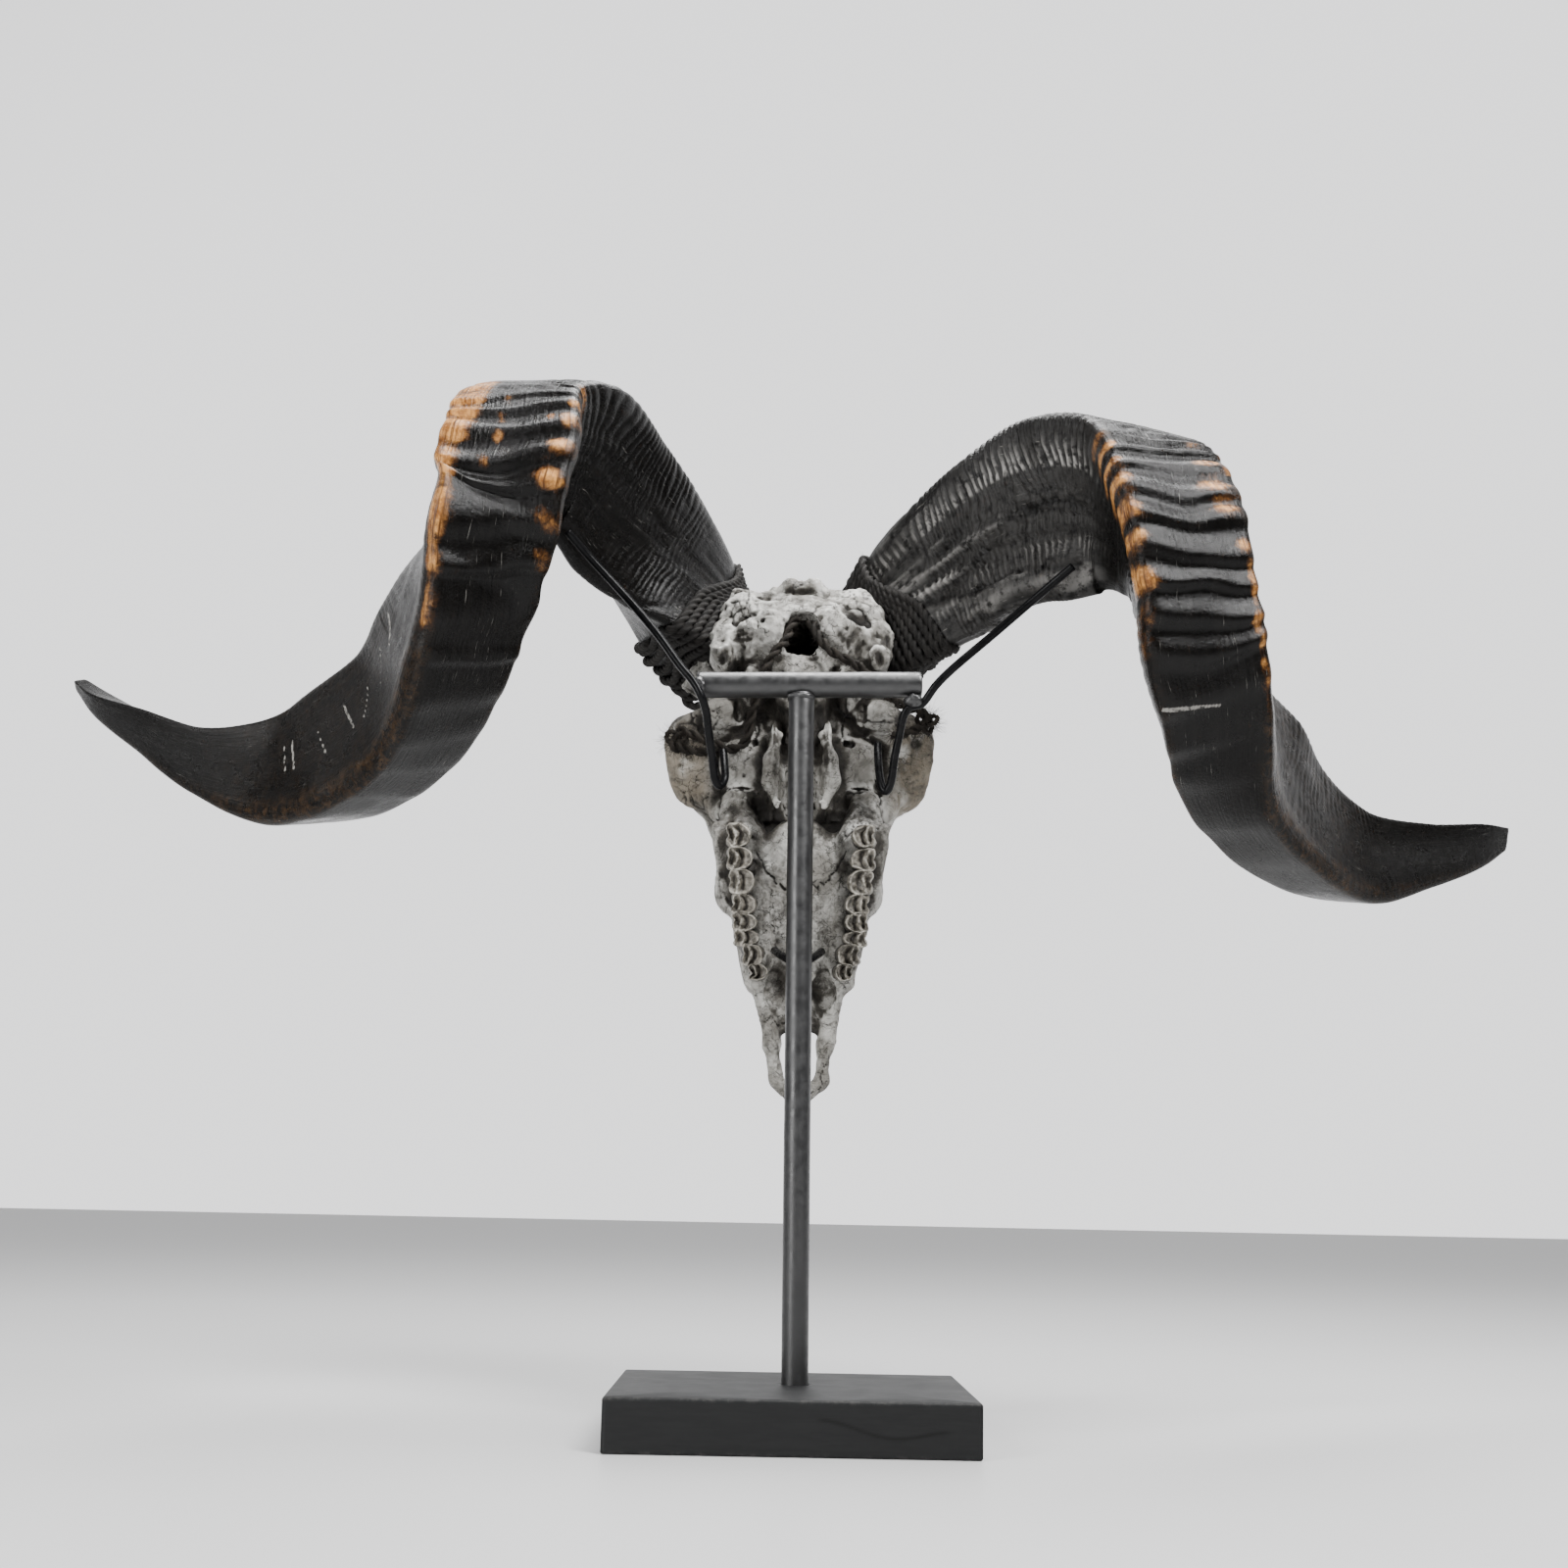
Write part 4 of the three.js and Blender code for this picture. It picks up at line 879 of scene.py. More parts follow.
HORNS = {
    "left": {
        "curl": ((0, 18, 408), (-400, 18, 380)),
        "stations": [
            (-42, 94, 422, 64, 72, 1), (-59, 80, 433, 72, 78, 0), (-87, 53, 456, 75, 81, -2),
            (-110, 18, 474, 73, 82, -4), (-124, -14, 485, 68, 76, -4), (-137, -38, 474, 65, 72, 1),
            (-142, -52, 451, 66, 72, -10), (-151, -54, 430, 66, 75, -29), (-164, -53, 410, 62, 77, -49),
            (-182, -38, 372, 55, 78, -48), (-203, -10, 346, 49, 73, -34), (-240, 17, 330, 47, 70, -11),
            (-276, 41, 328, 38, 55, 2), (-319, 58, 340, 28, 35, 4), (-357, 70, 361, 23, 28, 3),
            (-387, 78, 377, 17, 19, 1), (-402, 82, 389, 9, 7, 0),
        ],
        "seed": 20,
        # rings past the last station: share of its size, distance from it
        "tip": [(0.85, 1.5), (0.5, 2.7)],
        "ridge_height": 2.5,
        "wrinkles": 0.8,         # height of the wrinkles along the rising part
        "root_polish": 0.8,
        "dust": 0.0,
        "rib_height": 1.1,
        # grooves between the bold ridges, as distances along the front face
        "grooves": [
            150, 156, 162, 168, 175, 183, 195, 204.5, 213, 230, 244, 270, 281, 300, 318, 336, 360, 390,
            430, 500,
        ],
        # how much further along the ridges lie at the right edge than in the middle: distance along,
        # millimetres
        "skew": [
            (150, 0), (172, 4), (200, 9), (225, 14), (240, 14), (265, 8), (280, 5), (320, 3), (420, 0),
        ],
        # patches of bare tan horn: distance along, place across, half length, half width, strength
        "bare": [
            (163, -0.95, 3, 3, 0.7), (177, -0.91, 3.4, 3, 0.9), (184, -0.82, 3.8, 3.8, 1.0),
            (184, -0.57, 2.4, 2, 0.8), (187, 0.14, 2.4, 2.4, 0.85), (176, 0.06, 2.4, 2.4, 0.65),
            (196, 0.12, 2.4, 2.4, 0.9), (193, -0.74, 2.8, 6, 0.95), (202, -0.72, 3.6, 7, 1.0),
            (214, -0.76, 4, 7, 0.6), (224, -0.82, 4, 6, 0.5), (205, 0.24, 2.6, 3, 0.55),
            (233, -0.88, 3, 4, 0.45),
        ],
        # worn edges: which edge, then distance along, reach over the front, over the flank, strength
        "worn": {
            1: [
                (150, 0, 0, 0), (160, 16, 3, 0.9), (170, 20, 3.5, 1), (184, 18, 3.5, 1),
                (199, 15, 3.5, 1), (211, 12, 3.5, 1), (226, 8, 4, 1), (238, 6, 4, 0.95),
                (256, 3.5, 3.5, 0.85), (272, 2, 3, 0.8), (280, 0, 0, 0),
            ],
            -1: [(158, 0, 0, 0), (172, 3, 3, 0.45), (222, 3, 3, 0.4), (240, 0, 0, 0)],
        },
        # scratches: distance along and angle at each end, and half the width
        "scratches": [
            (350, 62, 344, 8, 0.6), (283, 72, 292, 30, 0.7), (300, 64, 310, 14, 0.5),
            (326, 55, 334, 8, 0.6), (372, 50, 366, -12, 0.4), (395, 60, 391, 0, 0.5),
            (402, 56, 399, 4, 0.4),
        ],
    },
    "right": {
        "curl": ((0, 18, 405), (400, 18, 360)),
        "stations": [
            (45, 93, 425, 62, 70, 15), (61, 79, 435, 71, 79, 13), (88, 54, 453, 75, 86, 8),
            (113, 24, 463, 77, 88, -6), (135, -5, 466, 76, 88, -7), (154, -32, 459, 69, 82, -7),
            (165, -49, 440, 62, 74, -2), (170, -57, 420, 59, 75, -2), (174, -56, 399, 58, 80, -2),
            (183, -48, 376, 59, 87, 8), (205, -32, 351, 54, 85, 21), (229, -10, 323, 48, 76, 25),
            (257, 14, 304, 42, 63, 7), (293, 39, 294, 34, 50, -4), (336, 59, 302, 23, 34, -8),
            (372, 74, 313, 19, 25, -4), (392, 83, 320, 12, 13, -2),
        ],
        "seed": 40,
        "tip": [],
        "ridge_height": 2.6,
        "wrinkles": 3.2,
        "root_polish": 0.0,
        "dust": 1.0,             # how much pale dust and painted sheen its rising part has
        "rib_height": 3.0,
        "grooves": [
            150, 156, 163, 170, 176, 183, 194, 205.5, 214, 226, 235, 248.5, 262, 278, 296, 318, 345, 375,
            410, 450, 500,
        ],
        "skew": [
            (150, 0), (170, -3), (193, -4), (206, -2), (216, -2), (230, -3.5), (248, -7.5), (270, -6),
            (340, 0),
        ],
        "bare": [
            (170, 0.95, 2, 2.6, 0.6), (176, 0.93, 2.6, 3.6, 0.85), (184, 0.94, 2.4, 4, 0.9),
            (193, 0.91, 4, 5.5, 1.0), (205, 0.95, 4.6, 5.5, 1.0), (215, 0.96, 3.4, 5.5, 0.95),
            (227, 0.96, 5, 5.5, 1.0), (242, 0.96, 4, 4, 0.6), (190, -0.60, 2.2, 8, 1.0),
            (193, -0.9, 3, 4, 0.8), (199, -0.52, 3.6, 9, 1.05), (208, -0.60, 3.4, 7.5, 1.0),
            (220, -0.80, 3.4, 4, 0.9), (232, -0.84, 6, 2.6, 0.95), (241, -0.86, 5, 2.6, 0.9),
            (253, -0.82, 6, 2.8, 0.9), (266, -0.86, 8, 2.2, 0.8), (281, -0.90, 8, 2.0, 0.6),
            (176, -0.55, 2.5, 5, 0.6),
        ],
        "worn": {
            1: [(160, 0, 0, 0), (172, 4, 4, 0.48), (246, 4, 4, 0.46), (262, 0, 0, 0)],
            -1: [(172, 0, 0, 0), (184, 5, 5, 0.55), (216, 3, 4, 0.55), (284, 2, 3, 0.5), (300, 0, 0, 0)],
        },
        "scratches": [(265, -54, 276, -92, 0.7)],
    },
}
HORN_ZERO = 0.7          # station that distances along a horn are counted from
HORN_START = 0.3         # station where the skin starts
ROOT_REACH = 40.0        # how far the middle line runs straight back behind the first station
FRONT_SHARE = 0.42       # share of the depth in front of the middle
CORNER_POWER = 5         # the higher, the sharper the three edges
FINE_SPACING = 0.74      # between rings of the ribbed part
COARSE_SPACING = 1.5
HORN_AROUND = 144
BOLD_START = 150.0        # distance along a horn where its bold ridges begin
RIDGE_RISE = 0.62         # share of a bold ridge that rises, before it falls to the next groove
RIB_PITCH = 4.4
ANGLE_REACH = 0.55        # millimetres over the surface for one degree round a horn


def horn_section(angle, width, depth):
    """Rounded triangle: flat front at -inward, blunt edge at +inward. Returns across and inward."""
    front = FRONT_SHARE * depth
    swell = 2 ** (1 / CORNER_POWER) * 0.97
    half, top = width / 2 * swell, (depth - front) * swell
    slant = np.hypot(top + front, half)
    flank = half * top / slant
    c, s = np.cos(angle), np.sin(angle)
    sides = [-s / front] + [(way * c * (top + front) + s * half) / slant / flank for way in (1, -1)]
    reach = sum(np.maximum(side, 0) ** CORNER_POWER for side in sides) ** (-1 / CORNER_POWER)
    return reach * c, reach * s


def horn_axis(shape, before=None):
    """Distances counted from HORN_ZERO, and the horn's middle, directions, width and depth there.

    With before, they are 1 mm apart and also run back behind the horn's root.
    """
    places = np.linspace(0, len(shape["stations"]) - 1, 1600)
    fine = spline(shape["stations"], places)
    run = run_along(fine[:, :3])
    run -= np.interp(HORN_ZERO, places, run)
    if before is None:
        start, change = np.interp(HORN_START, places, run), BOLD_START + 140
        marks = np.concatenate([np.arange(start, change, FINE_SPACING),
                                np.linspace(change, run[-1], int((run[-1] - change) / COARSE_SPACING))])
    else:
        marks = np.arange(-before, 80.0, 1.0)
        root = fine[0].copy()
        root[:3] -= ROOT_REACH * unit(fine[8, :3] - fine[0, :3])
        fine = np.vstack([root, fine])
        run = np.concatenate([[run[0] - ROOT_REACH], run])
    rows = read_rows(marks, run, fine)
    middle = rows[:, :3]
    ahead = unit(np.gradient(middle, axis=0))
    begin, end = np.array(shape["curl"], float)
    axis = unit(end - begin)
    inward = begin + ((middle - begin) @ axis)[:, None] * axis - middle
    inward = unit(inward - (inward * ahead).sum(1)[:, None] * ahead)
    turn = np.radians(rows[:, 5])[:, None]
    inward = inward * np.cos(turn) + np.cross(ahead, inward) * np.sin(turn)
    return marks, middle, ahead, np.cross(inward, ahead), inward, rows[:, 3], rows[:, 4]


def even_angles(count):
    """Angles that space a typical section's points evenly."""
    fine = np.linspace(0, TURN, 2000)
    run = run_along(np.stack(horn_section(fine, 60.0, 74.0), 1))
    return np.interp(np.linspace(0, run[-1], count, endpoint=False), run, fine)


def ridge_wave(place, grooves):
    """Height from 0 to 1 of ridges that rise slowly from one groove and fall quickly to the next."""
    grooves = np.array(grooves, float)
    cell = np.clip(np.searchsorted(grooves, place) - 1, 0, len(grooves) - 2)
    share = np.clip((place - grooves[cell]) / (grooves[cell + 1] - grooves[cell]), 0, 1)
    rise = 0.5 - 0.5 * np.cos(math.pi * share / RIDGE_RISE)
    fall = 0.5 + 0.5 * np.cos(math.pi * (share - RIDGE_RISE) / (1 - RIDGE_RISE))
    return np.where(share < RIDGE_RISE, rise, fall)


def worn_horn(shape, t, u, n, half, depth):
    """How bare each point of a horn is, from the patches and the worn edges."""
    wear = np.zeros(len(t))
    facing = smooth_step(-0.02, -0.16, n)
    for centre, place, half_length, half_width, strength in shape["bare"]:
        spot = ((t - centre) / half_length) ** 2 + ((u - place) * half / half_width) ** 2
        wear = np.maximum(wear, strength * np.exp(-spot**1.5 * 0.7) * facing)
    past = np.maximum(n + 0.38, 0) * depth
    for edge, rows in shape["worn"].items():
        rows = np.array(rows, float)
        over, behind, strength = read_rows(t, rows[:, 0], rows[:, 1:]).T
        away = (1 - u * edge) * half - past
        band = smooth_step(over + 4.5, over - 4.5, away) * smooth_step(-behind - 2.5, -behind + 2.5, away)
        wear = np.maximum(wear, strength * band * smooth_step(0.1, 0.4, u * edge))
    return wear


def scratched_horn(shape, t, around, bend):
    """How deep each point lies in a scratch, for places along and round a horn."""
    scratch = np.zeros(len(t))
    place = np.stack([t, np.degrees(around) % 360 * ANGLE_REACH], 1)
    for t0, angle0, t1, angle1, thick in shape["scratches"]:
        start, end = np.array([(t0, angle0 % 360 * ANGLE_REACH), (t1, angle1 % 360 * ANGLE_REACH)])
        if abs(end[1] - start[1]) > 180 * ANGLE_REACH:
            end[1] += math.copysign(360 * ANGLE_REACH, start[1] - end[1])
        line = end - start
        share = np.clip((place - start) @ line / (line @ line), 0, 1)
        away = np.linalg.norm(place - start - share[:, None] * line, axis=1) + 0.5 * bend
        scratch = np.maximum(scratch, 1 - 0.5 * away / thick)
    return scratch


def build_horn(side, material):
    shape = HORNS[side]
    marks, middle, ahead, sideways, inward, width, depth = horn_axis(shape)
    angle = even_angles(HORN_AROUND)
    across, deep = horn_section(angle[None], width[:, None], depth[:, None])
    rings = middle[:, None] + sideways[:, None] * across[..., None] + inward[:, None] * deep[..., None]
    flat = rings.reshape(-1, 3)
    normals = mesh_normals(flat, ring_faces(len(marks), HORN_AROUND))
    length = marks[-1]
    t, half, depths = (np.repeat(values, HORN_AROUND) for values in (marks, width / 2, depth))
    u = across.ravel() / half
    n = deep.ravel() / depths
    around = np.tile(angle, len(marks))
    local = np.stack([t, np.cos(around) * 35, np.sin(around) * 35], 1)

    def noise(size, number, stretch=(1, 1, 1)):
        return lattice_noise(local * stretch, size, shape["seed"] + number)

    front = smooth_step(-0.22, -0.40, n)
    flank = 1 - front
    after = smooth_step(BOLD_START, BOLD_START + 36, t)
    before = 1 - after
    slow = noise(26, 0)
    medium = noise(11, 1, (1, 0.6, 0.6))
    # bold ridges across the front of the descending part
    skew = np.interp(t, *np.transpose(shape["skew"]))
    bold = ridge_wave(t - skew * u + 1.2 * slow - 0.8 * (1 - u**2) + 1.3 * medium, shape["grooves"])
    bold_fade = smooth_step(BOLD_START + 170, BOLD_START + 100, t)
    bold *= 1 - 0.65 * smooth_step(0.72, 1.0, np.abs(u))
    uneven = 0.8 + 0.35 * smooth_step(-0.6, 0.6, noise(17, 7, (0.5, 1, 1)))
    start_fade = 0.35 + 0.65 * smooth_step(BOLD_START + 10, BOLD_START + 45, t)
    height = shape["ridge_height"] * (bold - 0.55) * front * after * start_fade * uneven
    height *= 0.26 + 0.74 * bold_fade
    groove = smooth_step(0.30, 0.02, bold) * (0.3 + 0.7 * bold_fade)
    # narrow ribs on the rising part and, fainter, round the flanks of the descending part
    phase = (t + 2.2 * medium + 4.5 * slow + 0.9 * noise(7, 6, (1, 1.4, 1.4)) + 5 * n) / RIB_PITCH
    rib = np.abs(np.sin(math.pi * phase)) ** 0.6
    patchy = smooth_step(-0.7, 0.3, noise(13, 2, (1, 0.6, 0.6)))
    rib_share = before * (0.15 + 0.75 * patchy) * smooth_step(20, 70, t)
    rib_share += flank * after * 0.20 + front * 0.22 * smooth_step(BOLD_START + 70, BOLD_START, t) * after
    rib_share *= 1 - 0.75 * smooth_step(0.28, 0.48, n) * before
    # wrinkles along the horn on the rising part, with sharp creases between them, painted dark as shade
    wavering = local * (0.05, 1, 1) + medium[:, None] * (0, 1.5, 1.5)
    wrinkle = lattice_noise(wavering, 6.5, shape["seed"] + 3)
    crease = smooth_step(0.12, 0.0, np.abs(wrinkle)) * smooth_step(-0.3, 0.3, noise(30, 8))
    flute = wrinkle + 0.45 * noise(2.6, 4, (0.1, 1, 1)) - 1.1 * crease
    wrinkled = shape["wrinkles"] * flank * before
    height += (rib - 0.75) * shape["rib_height"] * rib_share * (1 - 0.8 * crease * before)
    height += flute * (0.45 + 0.55 * smooth_step(-0.2, 0.2, n)) * wrinkled
    # dents, and a raised edge on both sides of the front
    rim = peak(np.abs(u) - 0.93, 0.09) * smooth_step(-0.15, -0.3, n)
    height += 0.6 * slow + 0.35 * noise(14, 5)
    height += rim * 0.9 * (0.4 + 0.6 * after) * smooth_step(length, length * 0.62, t)
    height *= np.clip(half / 30, 0.15, 1)
    # the inner side of the bend stays smooth, where the rings lie close together
    height *= 1 - 0.9 * smooth_step(0.2, 0.45, n) * smooth_step(110, 140, t) * smooth_step(240, 205, t)
    rings = (flat + normals * height[:, None]).reshape(rings.shape)

    lower = smooth_step(BOLD_START + 110, BOLD_START + 150, t) * smooth_step(length - 90, length - 150, t)
    # painted shade: darker in the rib troughs, the grooves between bold ridges and the creases
    valley = smooth_step(0.35, 0.0, rib) * np.clip(rib_share, 0, 1) + groove * front * after * 0.8
    valley = np.maximum(valley, crease * wrinkled)
    # pale dust and painted sheen on the ribs, in bands along the rising part: the rib crests and wrinkle tops
    # are lightened as painted glints
    dust = np.maximum(0.5 * smooth_step(0.1, 0.5, wrinkle), peak(n - 0.02, 0.17))
    dust *= smooth_step(0.80, 0.97, rib) * patchy * smooth_step(-0.25, 0.15, noise(8, 9, (0.06, 1, 1)))
    dust = 0.08 + 0.42 * smooth_step(0.1, 0.7, flute) + 3.8 * dust
    dust *= before * flank * (1 - 0.9 * crease) * shape["dust"]
    values = {
        "wear": worn_horn(shape, t, u, n, half, depths),
        "rust": rim * after * (0.30 + 0.6 * lower) + lower * 0.14 * flank,
        "valley": np.clip(valley, 0, 1),
        "polish": after * (0.5 + 0.5 * front) + before * shape["root_polish"],
        "scratch": scratched_horn(shape, t, around, medium),
        "dust": np.clip(dust, 0, 1),
        "grain": local * MM,
    }
    last = rings[-1]
    centre = last.mean(0)
    tip = [centre + (last - centre) * share + ahead[-1] * reach for share, reach in shape["tip"]]
    for key, field in values.items():
        rows = field.reshape(len(marks), HORN_AROUND, *field.shape[1:])
        values[key] = np.concatenate([rows, *[rows[-1:]] * len(tip)])
    skin = ring_skin(np.concatenate([rings, *[ring[None] for ring in tip]]), **values)
    new_piece(f"horn_{side}_sheath", skin, material, f"horn_{side}")


# Ropes

ROPE_RADIUS = 2.7
ROPE_TWIST = 17.0        # length in which a strand goes once round the rope
WRAP_TURNS = 9
# The wound band, by angle round the left horn: where it starts and ends along the horn, and how far
# every second turn stands off. The right horn's is its mirror image.
WRAP_BAND = [
    (0, -24, 18, 1.0), (40, -14, 25, 0.5), (86, -6, 32, 0.0), (130, -6, 27, 0.0), (170, -12, 16, 1.5),
    (205, -16, 4, 2.2), (240, -17, 3, 2.4), (275, -18, 5, 2.4), (305, -24, 8, 2.2), (335, -32, 14, 1.5),
]
TIE_ROUTES = {
    "left": [
        (-2.2, 36.8, 418.4), (-4.6, 35.8, 418), (-6.8, 34, 414.5), (-8, 32.5, 410), (-9.4, 30.5, 405.5),
        (-12, 28, 401.5), (-15.5, 26, 396.5), (-18.8, 25, 390), (-22, 24, 379), (-25.5, 28, 369),
        (-27.5, 32, 360), (-29, 35, 352), (-36, 37, 347.5), (-46, 37, 350), (-56, 39, 355),
        (-64, 41, 358), (-66, 42, 351), (-58, 39, 346.5), (-47, 38, 346),
    ],
    "right": [
        (2.6, 36.8, 418), (4.2, 36, 416.8), (5.8, 34, 413.5), (7.6, 31.5, 409), (10.3, 28.7, 404),
        (14.5, 27, 399), (20, 26, 395.5), (26, 26, 392.5), (32, 27, 388.5), (37.5, 28, 382),
        (46, 31, 376), (55, 36, 372), (63, 40, 371.5), (67, 43, 366), (58, 40, 360), (48, 39, 357.5),
    ],
}
TIE_STRAND = 1.5
TIE_TURN = 15.0
KNOT_SIZE = 2.0
TIE_TWIST = 7
STRANDS = 3
ROPE_AROUND = 18
HAIR_RADIUS = 0.09


def twisted_rope(path, radius, twist, seed):
    """The skin of a rope laid from strands, along points about 1 mm apart."""
    run = run_along(path)[:, None]
    angle = np.linspace(0, TURN, ROPE_AROUND, endpoint=False)
    lobe = STRANDS * (angle - TURN * run / twist)
    off = (np.mod(lobe + math.pi, TURN) - math.pi) / STRANDS
    reach = radius * (0.5 * np.cos(off) + np.sqrt(np.maximum(0.25 - (0.5 * np.sin(off)) ** 2, 0.01)))
    rings = sweep(path, reach, ROPE_AROUND)
    flat = rings.reshape(-1, 3)
    bristle = 0.16 * lattice_noise(flat, 1.4, seed)
    rings = (flat + bristle[:, None] * unit(flat - path.repeat(ROPE_AROUND, 0))).reshape(rings.shape)
    # fibres follow the lay of the strands
    grain = np.stack([run + 0 * lobe, 1.6 * np.cos(lobe / STRANDS), 1.6 * np.sin(lobe / STRANDS)], -1)
    return ring_skin(rings, grain=grain * MM)


def hairs(origins, directions, length, seed):
    """Skins of short bent fibres that stand off a rope."""
    rng = np.random.default_rng(seed)
    share = np.linspace(0, 1, 5)[:, None]
    skins = []
    for origin, direction in zip(origins, directions):
        reach = length * rng.uniform(0.4, 1.2)
        bend = rng.normal(0, 0.5, 3)
        path = origin + direction * reach * share + bend * reach * 0.5 * share**2
        rings = sweep(path, HAIR_RADIUS * np.linspace(1, 0.35, 5)[:, None], 4)
        skins.append(ring_skin(rings, grain=np.zeros(rings.shape)))
    return skins


def wrap_path(side):
    """Middle of the rope wound round the root of a horn, turn after turn, and the middle of the root."""
    marks, middle, _, sideways, inward, width, depth = horn_axis(HORNS[side], before=45)
    place = np.linspace(0, WRAP_TURNS, WRAP_TURNS * 120)[::3]
    angle = np.mod(360 * place, 360)
    band = np.array(WRAP_BAND + [(360, *WRAP_BAND[0][1:])], float)
    low, high, stand_off = read_rows(angle, band[:, 0], band[:, 1:]).T
    share = np.clip((place - 0.5) / (WRAP_TURNS - 1), 0, 1)
    distance = low + (high - low) * share + 0.4 * np.sin(np.radians(angle) * 2 + place * 5)
    lift = stand_off * 0.5 * (1 - np.cos(math.pi * place)) * smooth_step(0, 1, place)
    rows = read_rows(distance, marks, np.column_stack([middle, sideways, inward, width, depth]))
    turned = np.radians(angle if side == "left" else 180 - angle)
    section = np.stack(horn_section(turned, rows[:, 9], rows[:, 10]))
    across, deep = section * (1 + (ROPE_RADIUS * 0.8 + lift) / np.hypot(*section))
    path = rows[:, :3] + rows[:, 3:6] * across[:, None] + rows[:, 6:9] * deep[:, None]
    return resample(path, 0.9), middle[:60].mean(0)


def build_wrap(side, material):
    path, centre = wrap_path(side)
    rng = np.random.default_rng(70 if side == "left" else 71)
    picks = rng.integers(0, len(path), 520)
    outward = unit(unit(path[picks] - centre) + rng.normal(0, 0.6, (len(picks), 3)))
    skins = [twisted_rope(path, ROPE_RADIUS, ROPE_TWIST, 60)]
    skins += hairs(path[picks] + outward * ROPE_RADIUS * 0.7, outward, 3.2, 72)
    new_piece(f"rope_wrap_{side}_laid", join(skins), material, f"rope_wrap_{side}")


def build_tie(side, material):
    path = resample(TIE_ROUTES[side], 1.0)
    rng = np.random.default_rng(80 if side == "left" else 81)
    ahead, across, up = path_frames(path)
    skins = []
    for strand in range(2):
        angle = (TURN * np.arange(len(path)) / TIE_TURN + strand * math.pi)[:, None]
        offset = (across * np.cos(angle) + up * np.sin(angle)) * TIE_STRAND * 0.9
        skins.append(twisted_rope(path + offset, TIE_STRAND, TIE_TWIST, 82 + strand))
    picks = np.concatenate([rng.integers(0, len(path), 600), rng.integers(len(path) - 26, len(path), 300)])
    outward = unit(rng.normal(0, 1, (len(picks), 3)) + ahead[picks] * 0.4)
    skins += hairs(path[picks] + outward * TIE_STRAND, outward, 5.5, 84)
    # a knot where the rope turns back, with a frayed tuft
    turn_back = path[np.argmax(np.abs(path[:, 0]))]
    angle = np.linspace(0, TURN - 0.15, 90)
    knot = np.stack([np.sin(angle) + 2 * np.sin(2 * angle), -1.1 * np.sin(3 * angle),
                     np.cos(angle) - 2 * np.cos(2 * angle)], 1) * KNOT_SIZE
    skins.append(twisted_rope(turn_back + knot, TIE_STRAND * 0.9, TIE_TWIST, 86))
    outward = unit(rng.normal(0, 1, (260, 3)))
    skins += hairs(turn_back + outward * KNOT_SIZE * 2.2, outward, 6.5, 88)
    new_piece(f"rope_tie_{side}_laid", join(skins), material, f"rope_tie_{side}")


# Stand

ROD_ROUTES = {
    "left": [
        (-120.5, -17, 442), (-108.5, -8, 431), (-91, -2, 414), (-75, -3, 395), (-63, -4, 378.5),
        (-56, -4.4, 370), (-51.5, -4.4, 362), (-49, 0, 355), (-48, 6, 348), (-46, 12, 336),
        (-44.5, 17, 326), (-42, 19.5, 322.5), (-39.5, 21, 327), (-40, 26, 336), (-41, 32, 345),
    ],
    "right": [
        (133, -21, 428.5), (113, -10, 413), (94, -4, 397), (76, -3, 381), (67, -1, 372),
        (60.5, 2, 363.4), (54, 4, 361.6), (51, 5.5, 357), (49.5, 9, 349), (47.5, 13, 338),
        (46, 17, 326), (43.5, 19.5, 321.5), (41, 21, 327), (40, 27, 340), (40, 33, 351),
    ],
}
CRADLE_ROUTE = [
    (-12, 38, 240.5), (-9, 27, 236.5), (-4.5, 16, 232.5), (0.2, 13.4, 231.5), (5, 16, 232.5),
    (9.5, 27, 236.5), (12.5, 38, 240.5),
]
# Weld beads: middle, radii in the three directions
WELDS = [
    ((POST_TOP[0], POST_Y - 1.2, POST_TOP[2] - BAR_RADIUS - 0.6), (7.4, 6.6, 2.2)),
    ((BAR_LEFT[0] + 1.5, -3.4, BAR_LEFT[2] - 2.5), (3.2, 2.6, 4.0)),
    ((BAR_RIGHT[0] - 4.5, 1.5, BAR_RIGHT[2] - 9.5), (4.4, 3.4, 3.2)),
    ((POST_TOP[0] + 1.2, 12.4, 231.8), (3.4, 2.0, 3.0)),
]
WELD_RINGS = 26
BASE_EDGE = 1.1
BASE_STEPS = 84, 58, 30   # points along its width and its depth, and rings up its faces


def weld_bead(centre, radii, seed):
    """A lumpy closed blob of weld."""
    theta = np.linspace(0.06, math.pi - 0.06, WELD_RINGS)
    phi = np.linspace(0, TURN, WELD_RINGS * 2, endpoint=False)
    upward, sideways = np.meshgrid(theta, phi, indexing="ij")
    flat = np.sin(upward)
    shell = np.stack([flat * np.cos(sideways), flat * np.sin(sideways), -np.cos(upward)], -1)
    points = (shell * radii).reshape(-1, 3)
    lumps = 0.9 * lattice_noise(points, 3.4, seed) + 0.45 * lattice_noise(points, 1.5, seed + 1)
    return ring_skin((points + unit(points) * lumps[:, None] + centre).reshape(shell.shape))


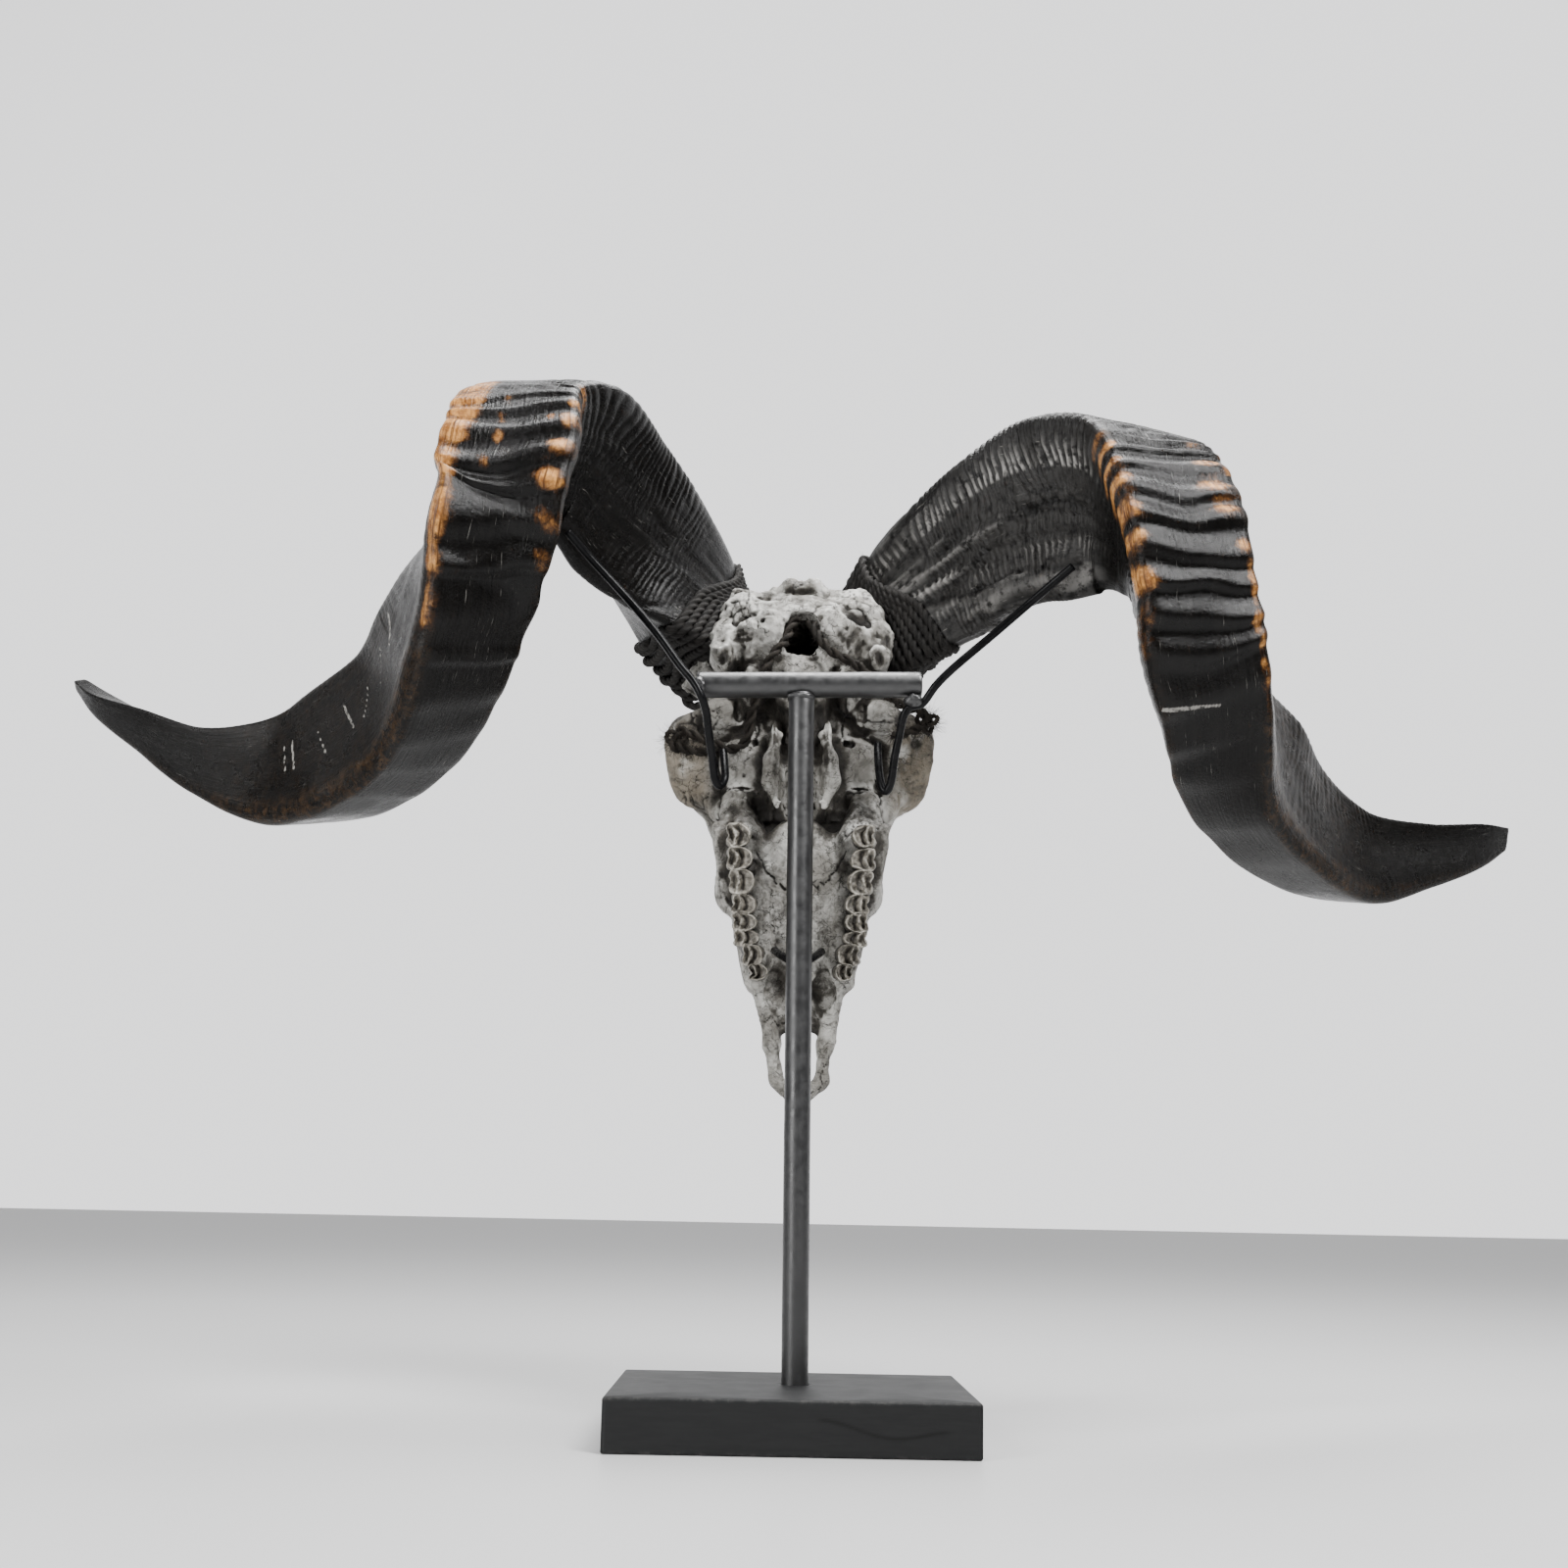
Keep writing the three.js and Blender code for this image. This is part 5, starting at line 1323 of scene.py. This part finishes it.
def build_stand(steel, rod_steel):
    bar_top = (POST_TOP[0], POST_Y, POST_TOP[2] - BAR_RADIUS + 1.5)
    for name, node, start, end in (("cross_bar_round", "cross_bar", BAR_LEFT, BAR_RIGHT),
                                   ("post_round", "post_tube", POST_FOOT, bar_top)):
        points, *rest = rounded_bar(np.linspace(start, end, 60), BAR_RADIUS, 48, 0.6)
        points = points + 0.10 * lattice_noise(points, 14, 7)[:, None] * (1.0, 1.0, 0.0)
        new_piece(name, (points, *rest), steel, node)
    for number, (centre, radii) in enumerate(WELDS, 1):
        new_piece(f"weld_bead_{number}", weld_bead(centre, radii, 10 + number), steel)
    rods = [(f"support_rod_{side}", route, 1.2) for side, route in ROD_ROUTES.items()]
    for node, route, spacing in rods + [("palate_cradle", CRADLE_ROUTE, 1.0)]:
        rod = rounded_bar(resample(route, spacing), ROD_RADIUS, 20, 0.5)
        new_piece(f"{node}_round", rod, rod_steel, node)


def build_base(material):
    """The block with softened edges and a socket round the post's foot."""
    width, depth, height = BASE_SIZE
    steps_x, steps_y, steps_z = BASE_STEPS
    inset = [(BASE_EDGE, 0.0), (0.32 * BASE_EDGE, 0.32 * BASE_EDGE), (0.0, BASE_EDGE)]
    levels = inset + [(0.0, z) for z in np.linspace(BASE_EDGE, height - BASE_EDGE, steps_z)[1:]]
    levels += [(shrink, height - z) for shrink, z in reversed(inset[:2])]
    # one outline of a square with sides from -1 to 1, anticlockwise from its near left corner
    x, y = np.linspace(-1, 1, steps_x + 1)[:-1], np.linspace(-1, 1, steps_y + 1)[:-1]
    square = np.concatenate([np.stack([x, -np.ones(steps_x)], 1), np.stack([np.ones(steps_y), y], 1)])
    square = np.concatenate([square, -square])
    half = np.array([width / 2, depth / 2])
    rings = [np.insert(square * (half - shrink), 2, z, axis=1) for shrink, z in levels]
    foot = np.array(POST_FOOT[:2])
    x, y = (rings[-1][:, :2] - foot).T
    around = np.arctan2(y, x)
    limit = half - 2 * BASE_EDGE
    for radius, z in ((60.0, height), (24.0, height), (9.0, height), (BAR_RADIUS + 0.5, height),
                      (BAR_RADIUS + 0.1, height - 0.5), (BAR_RADIUS + 0.1, 12.0)):
        circle = foot + radius * np.stack([np.cos(around), np.sin(around)], 1)
        rings.append(np.insert(np.clip(circle, -limit, limit), 2, z, axis=1))
    points, faces, _ = ring_skin(np.array(rings))
    x, y, z = points.T
    front = smooth_step(-depth / 2 + 1, -depth / 2, y)
    line = 15.0 + 2.0 * np.sin(x / 9) - smooth_step(0, 60, x) * 5
    crack = front * peak(z - line, 0.8) * smooth_step(10, 14, x) * smooth_step(72, 66, x)
    inner = np.maximum(np.abs(x) - width / 2 + 3, np.abs(y) - depth / 2 + 3)
    ridge = smooth_step(0, 3, inner) * smooth_step(2.2, 0.4, np.minimum(np.abs(z - height), z))
    values = {"crack": crack, "ridge": ridge}
    new_piece("base_block", (points, faces, values), material, "base_plate")


# Light, floor and camera, in metres

# Lamps: place, the point each looks at, width and height, watts
LAMPS = {
    "bank_softbox": ((0.62, -0.65, 1.35), (0.05, -0.02, 0.40), (0.42, 0.85), 42),
    "left_softbox": ((-0.95, -0.92, 0.60), (-0.05, 0, 0.30), (0.18, 1.0), 15),
    "top_softbox": ((0.15, 0.30, 1.65), (0, 0.02, 0.4), (0.7, 0.5), 22),
    "bar_softbox": ((0.0, -0.06, 1.65), (0, 0, 0.4), (0.5, 0.4), 15),
    "side_softbox": ((-1.25, -0.42, 0.95), (0.1, 0, 0.45), (0.14, 0.9), 7),
}
FLOOR_HALF = 8.0
CAMERA_PLACE = (-0.0146, -0.766, 0.1105)
CAMERA_PITCH, CAMERA_YAW, CAMERA_ROLL = (math.radians(value) for value in (7.79, 0.57, 1.15))
CAMERA_SHIFT = 0.1306     # of the picture upwards, in shares of its width
CAMERA_LENS = 36.0        # mm, for a sensor as wide


def place_object(name, data):
    thing = bpy.data.objects.new(name, data)
    bpy.context.scene.collection.objects.link(thing)
    return thing


def build_stage():
    paint = Shader("studio_floor")
    paint.colour = (0.50, 0.50, 0.50)
    mesh = bpy.data.meshes.new("studio_floor")
    corners = [(x * FLOOR_HALF, y * FLOOR_HALF, 0) for x, y in ((-1, -1), (1, -1), (1, 1), (-1, 1))]
    mesh.from_pydata(corners, [], [(0, 1, 2, 3)])
    mesh.materials.append(paint.finish(0.45, 0.3))
    place_object("studio_floor", mesh)

    # a bright wall behind the object, a little to the right, and a dimmer room on the camera's side
    world = bpy.data.worlds.new("studio")
    bpy.context.scene.world = world
    world.use_nodes = True
    sky = Nodes(world.node_tree)
    around = sky.add("ShaderNodeTexCoord", {}, "Generated")
    wall = {0: around, 1: (0.12, 1.0, 0.0)}
    facing = sky.add("ShaderNodeVectorMath", wall, "Value", operation="DOT_PRODUCT")
    background = world.node_tree.nodes["Background"].inputs
    sky.put(background["Color"], (0.97, 0.97, 0.98))
    sky.put(background["Strength"], facing.spread(0.15, 0.80, 0.09, 1.8))

    for name, (place, target, size, power) in LAMPS.items():
        light = bpy.data.lights.new(name, "AREA")
        light.shape = "RECTANGLE"
        light.size, light.size_y = size
        light.energy = power
        lamp = place_object(name, light)
        lamp.location = place
        lamp.rotation_euler = (Vector(target) - Vector(place)).to_track_quat("-Z", "Y").to_euler()


def build_camera():
    flat = math.cos(CAMERA_PITCH)
    ahead = Vector((math.sin(CAMERA_YAW) * flat, math.cos(CAMERA_YAW) * flat, math.sin(CAMERA_PITCH)))
    level = ahead.cross(Vector((0, 0, 1))).normalized()
    upright = level.cross(ahead)
    right = level * math.cos(CAMERA_ROLL) + upright * math.sin(CAMERA_ROLL)
    up = upright * math.cos(CAMERA_ROLL) - level * math.sin(CAMERA_ROLL)
    data = bpy.data.cameras.new("photo_view")
    data.sensor_width = data.lens = CAMERA_LENS
    data.shift_y = CAMERA_SHIFT
    data.clip_start = 0.01
    camera = place_object("photo_view", data)
    basis = Matrix((right, up, -ahead)).transposed().to_4x4()
    basis.translation = Vector(CAMERA_PLACE)
    camera.matrix_world = basis
    bpy.context.scene.camera = camera


build_camera()
build_stage()
build_skull(bone_material())
build_teeth(tooth_material())
horn = horn_material()
wrap_rope = rope_material("rope", (0.0028, 0.0024, 0.0021), (0.026, 0.023, 0.020))
tie_rope = rope_material("tie_rope", (0.0035, 0.003, 0.0024), (0.040, 0.031, 0.022))
for horn_side in ("left", "right"):
    build_horn(horn_side, horn)
    build_wrap(horn_side, wrap_rope)
    build_tie(horn_side, tie_rope)
build_stand(steel_material("stand_steel", 0.34, 0.50, 0.9), steel_material("rod_steel", 0.20, 0.30, 0.10))
build_base(base_material())
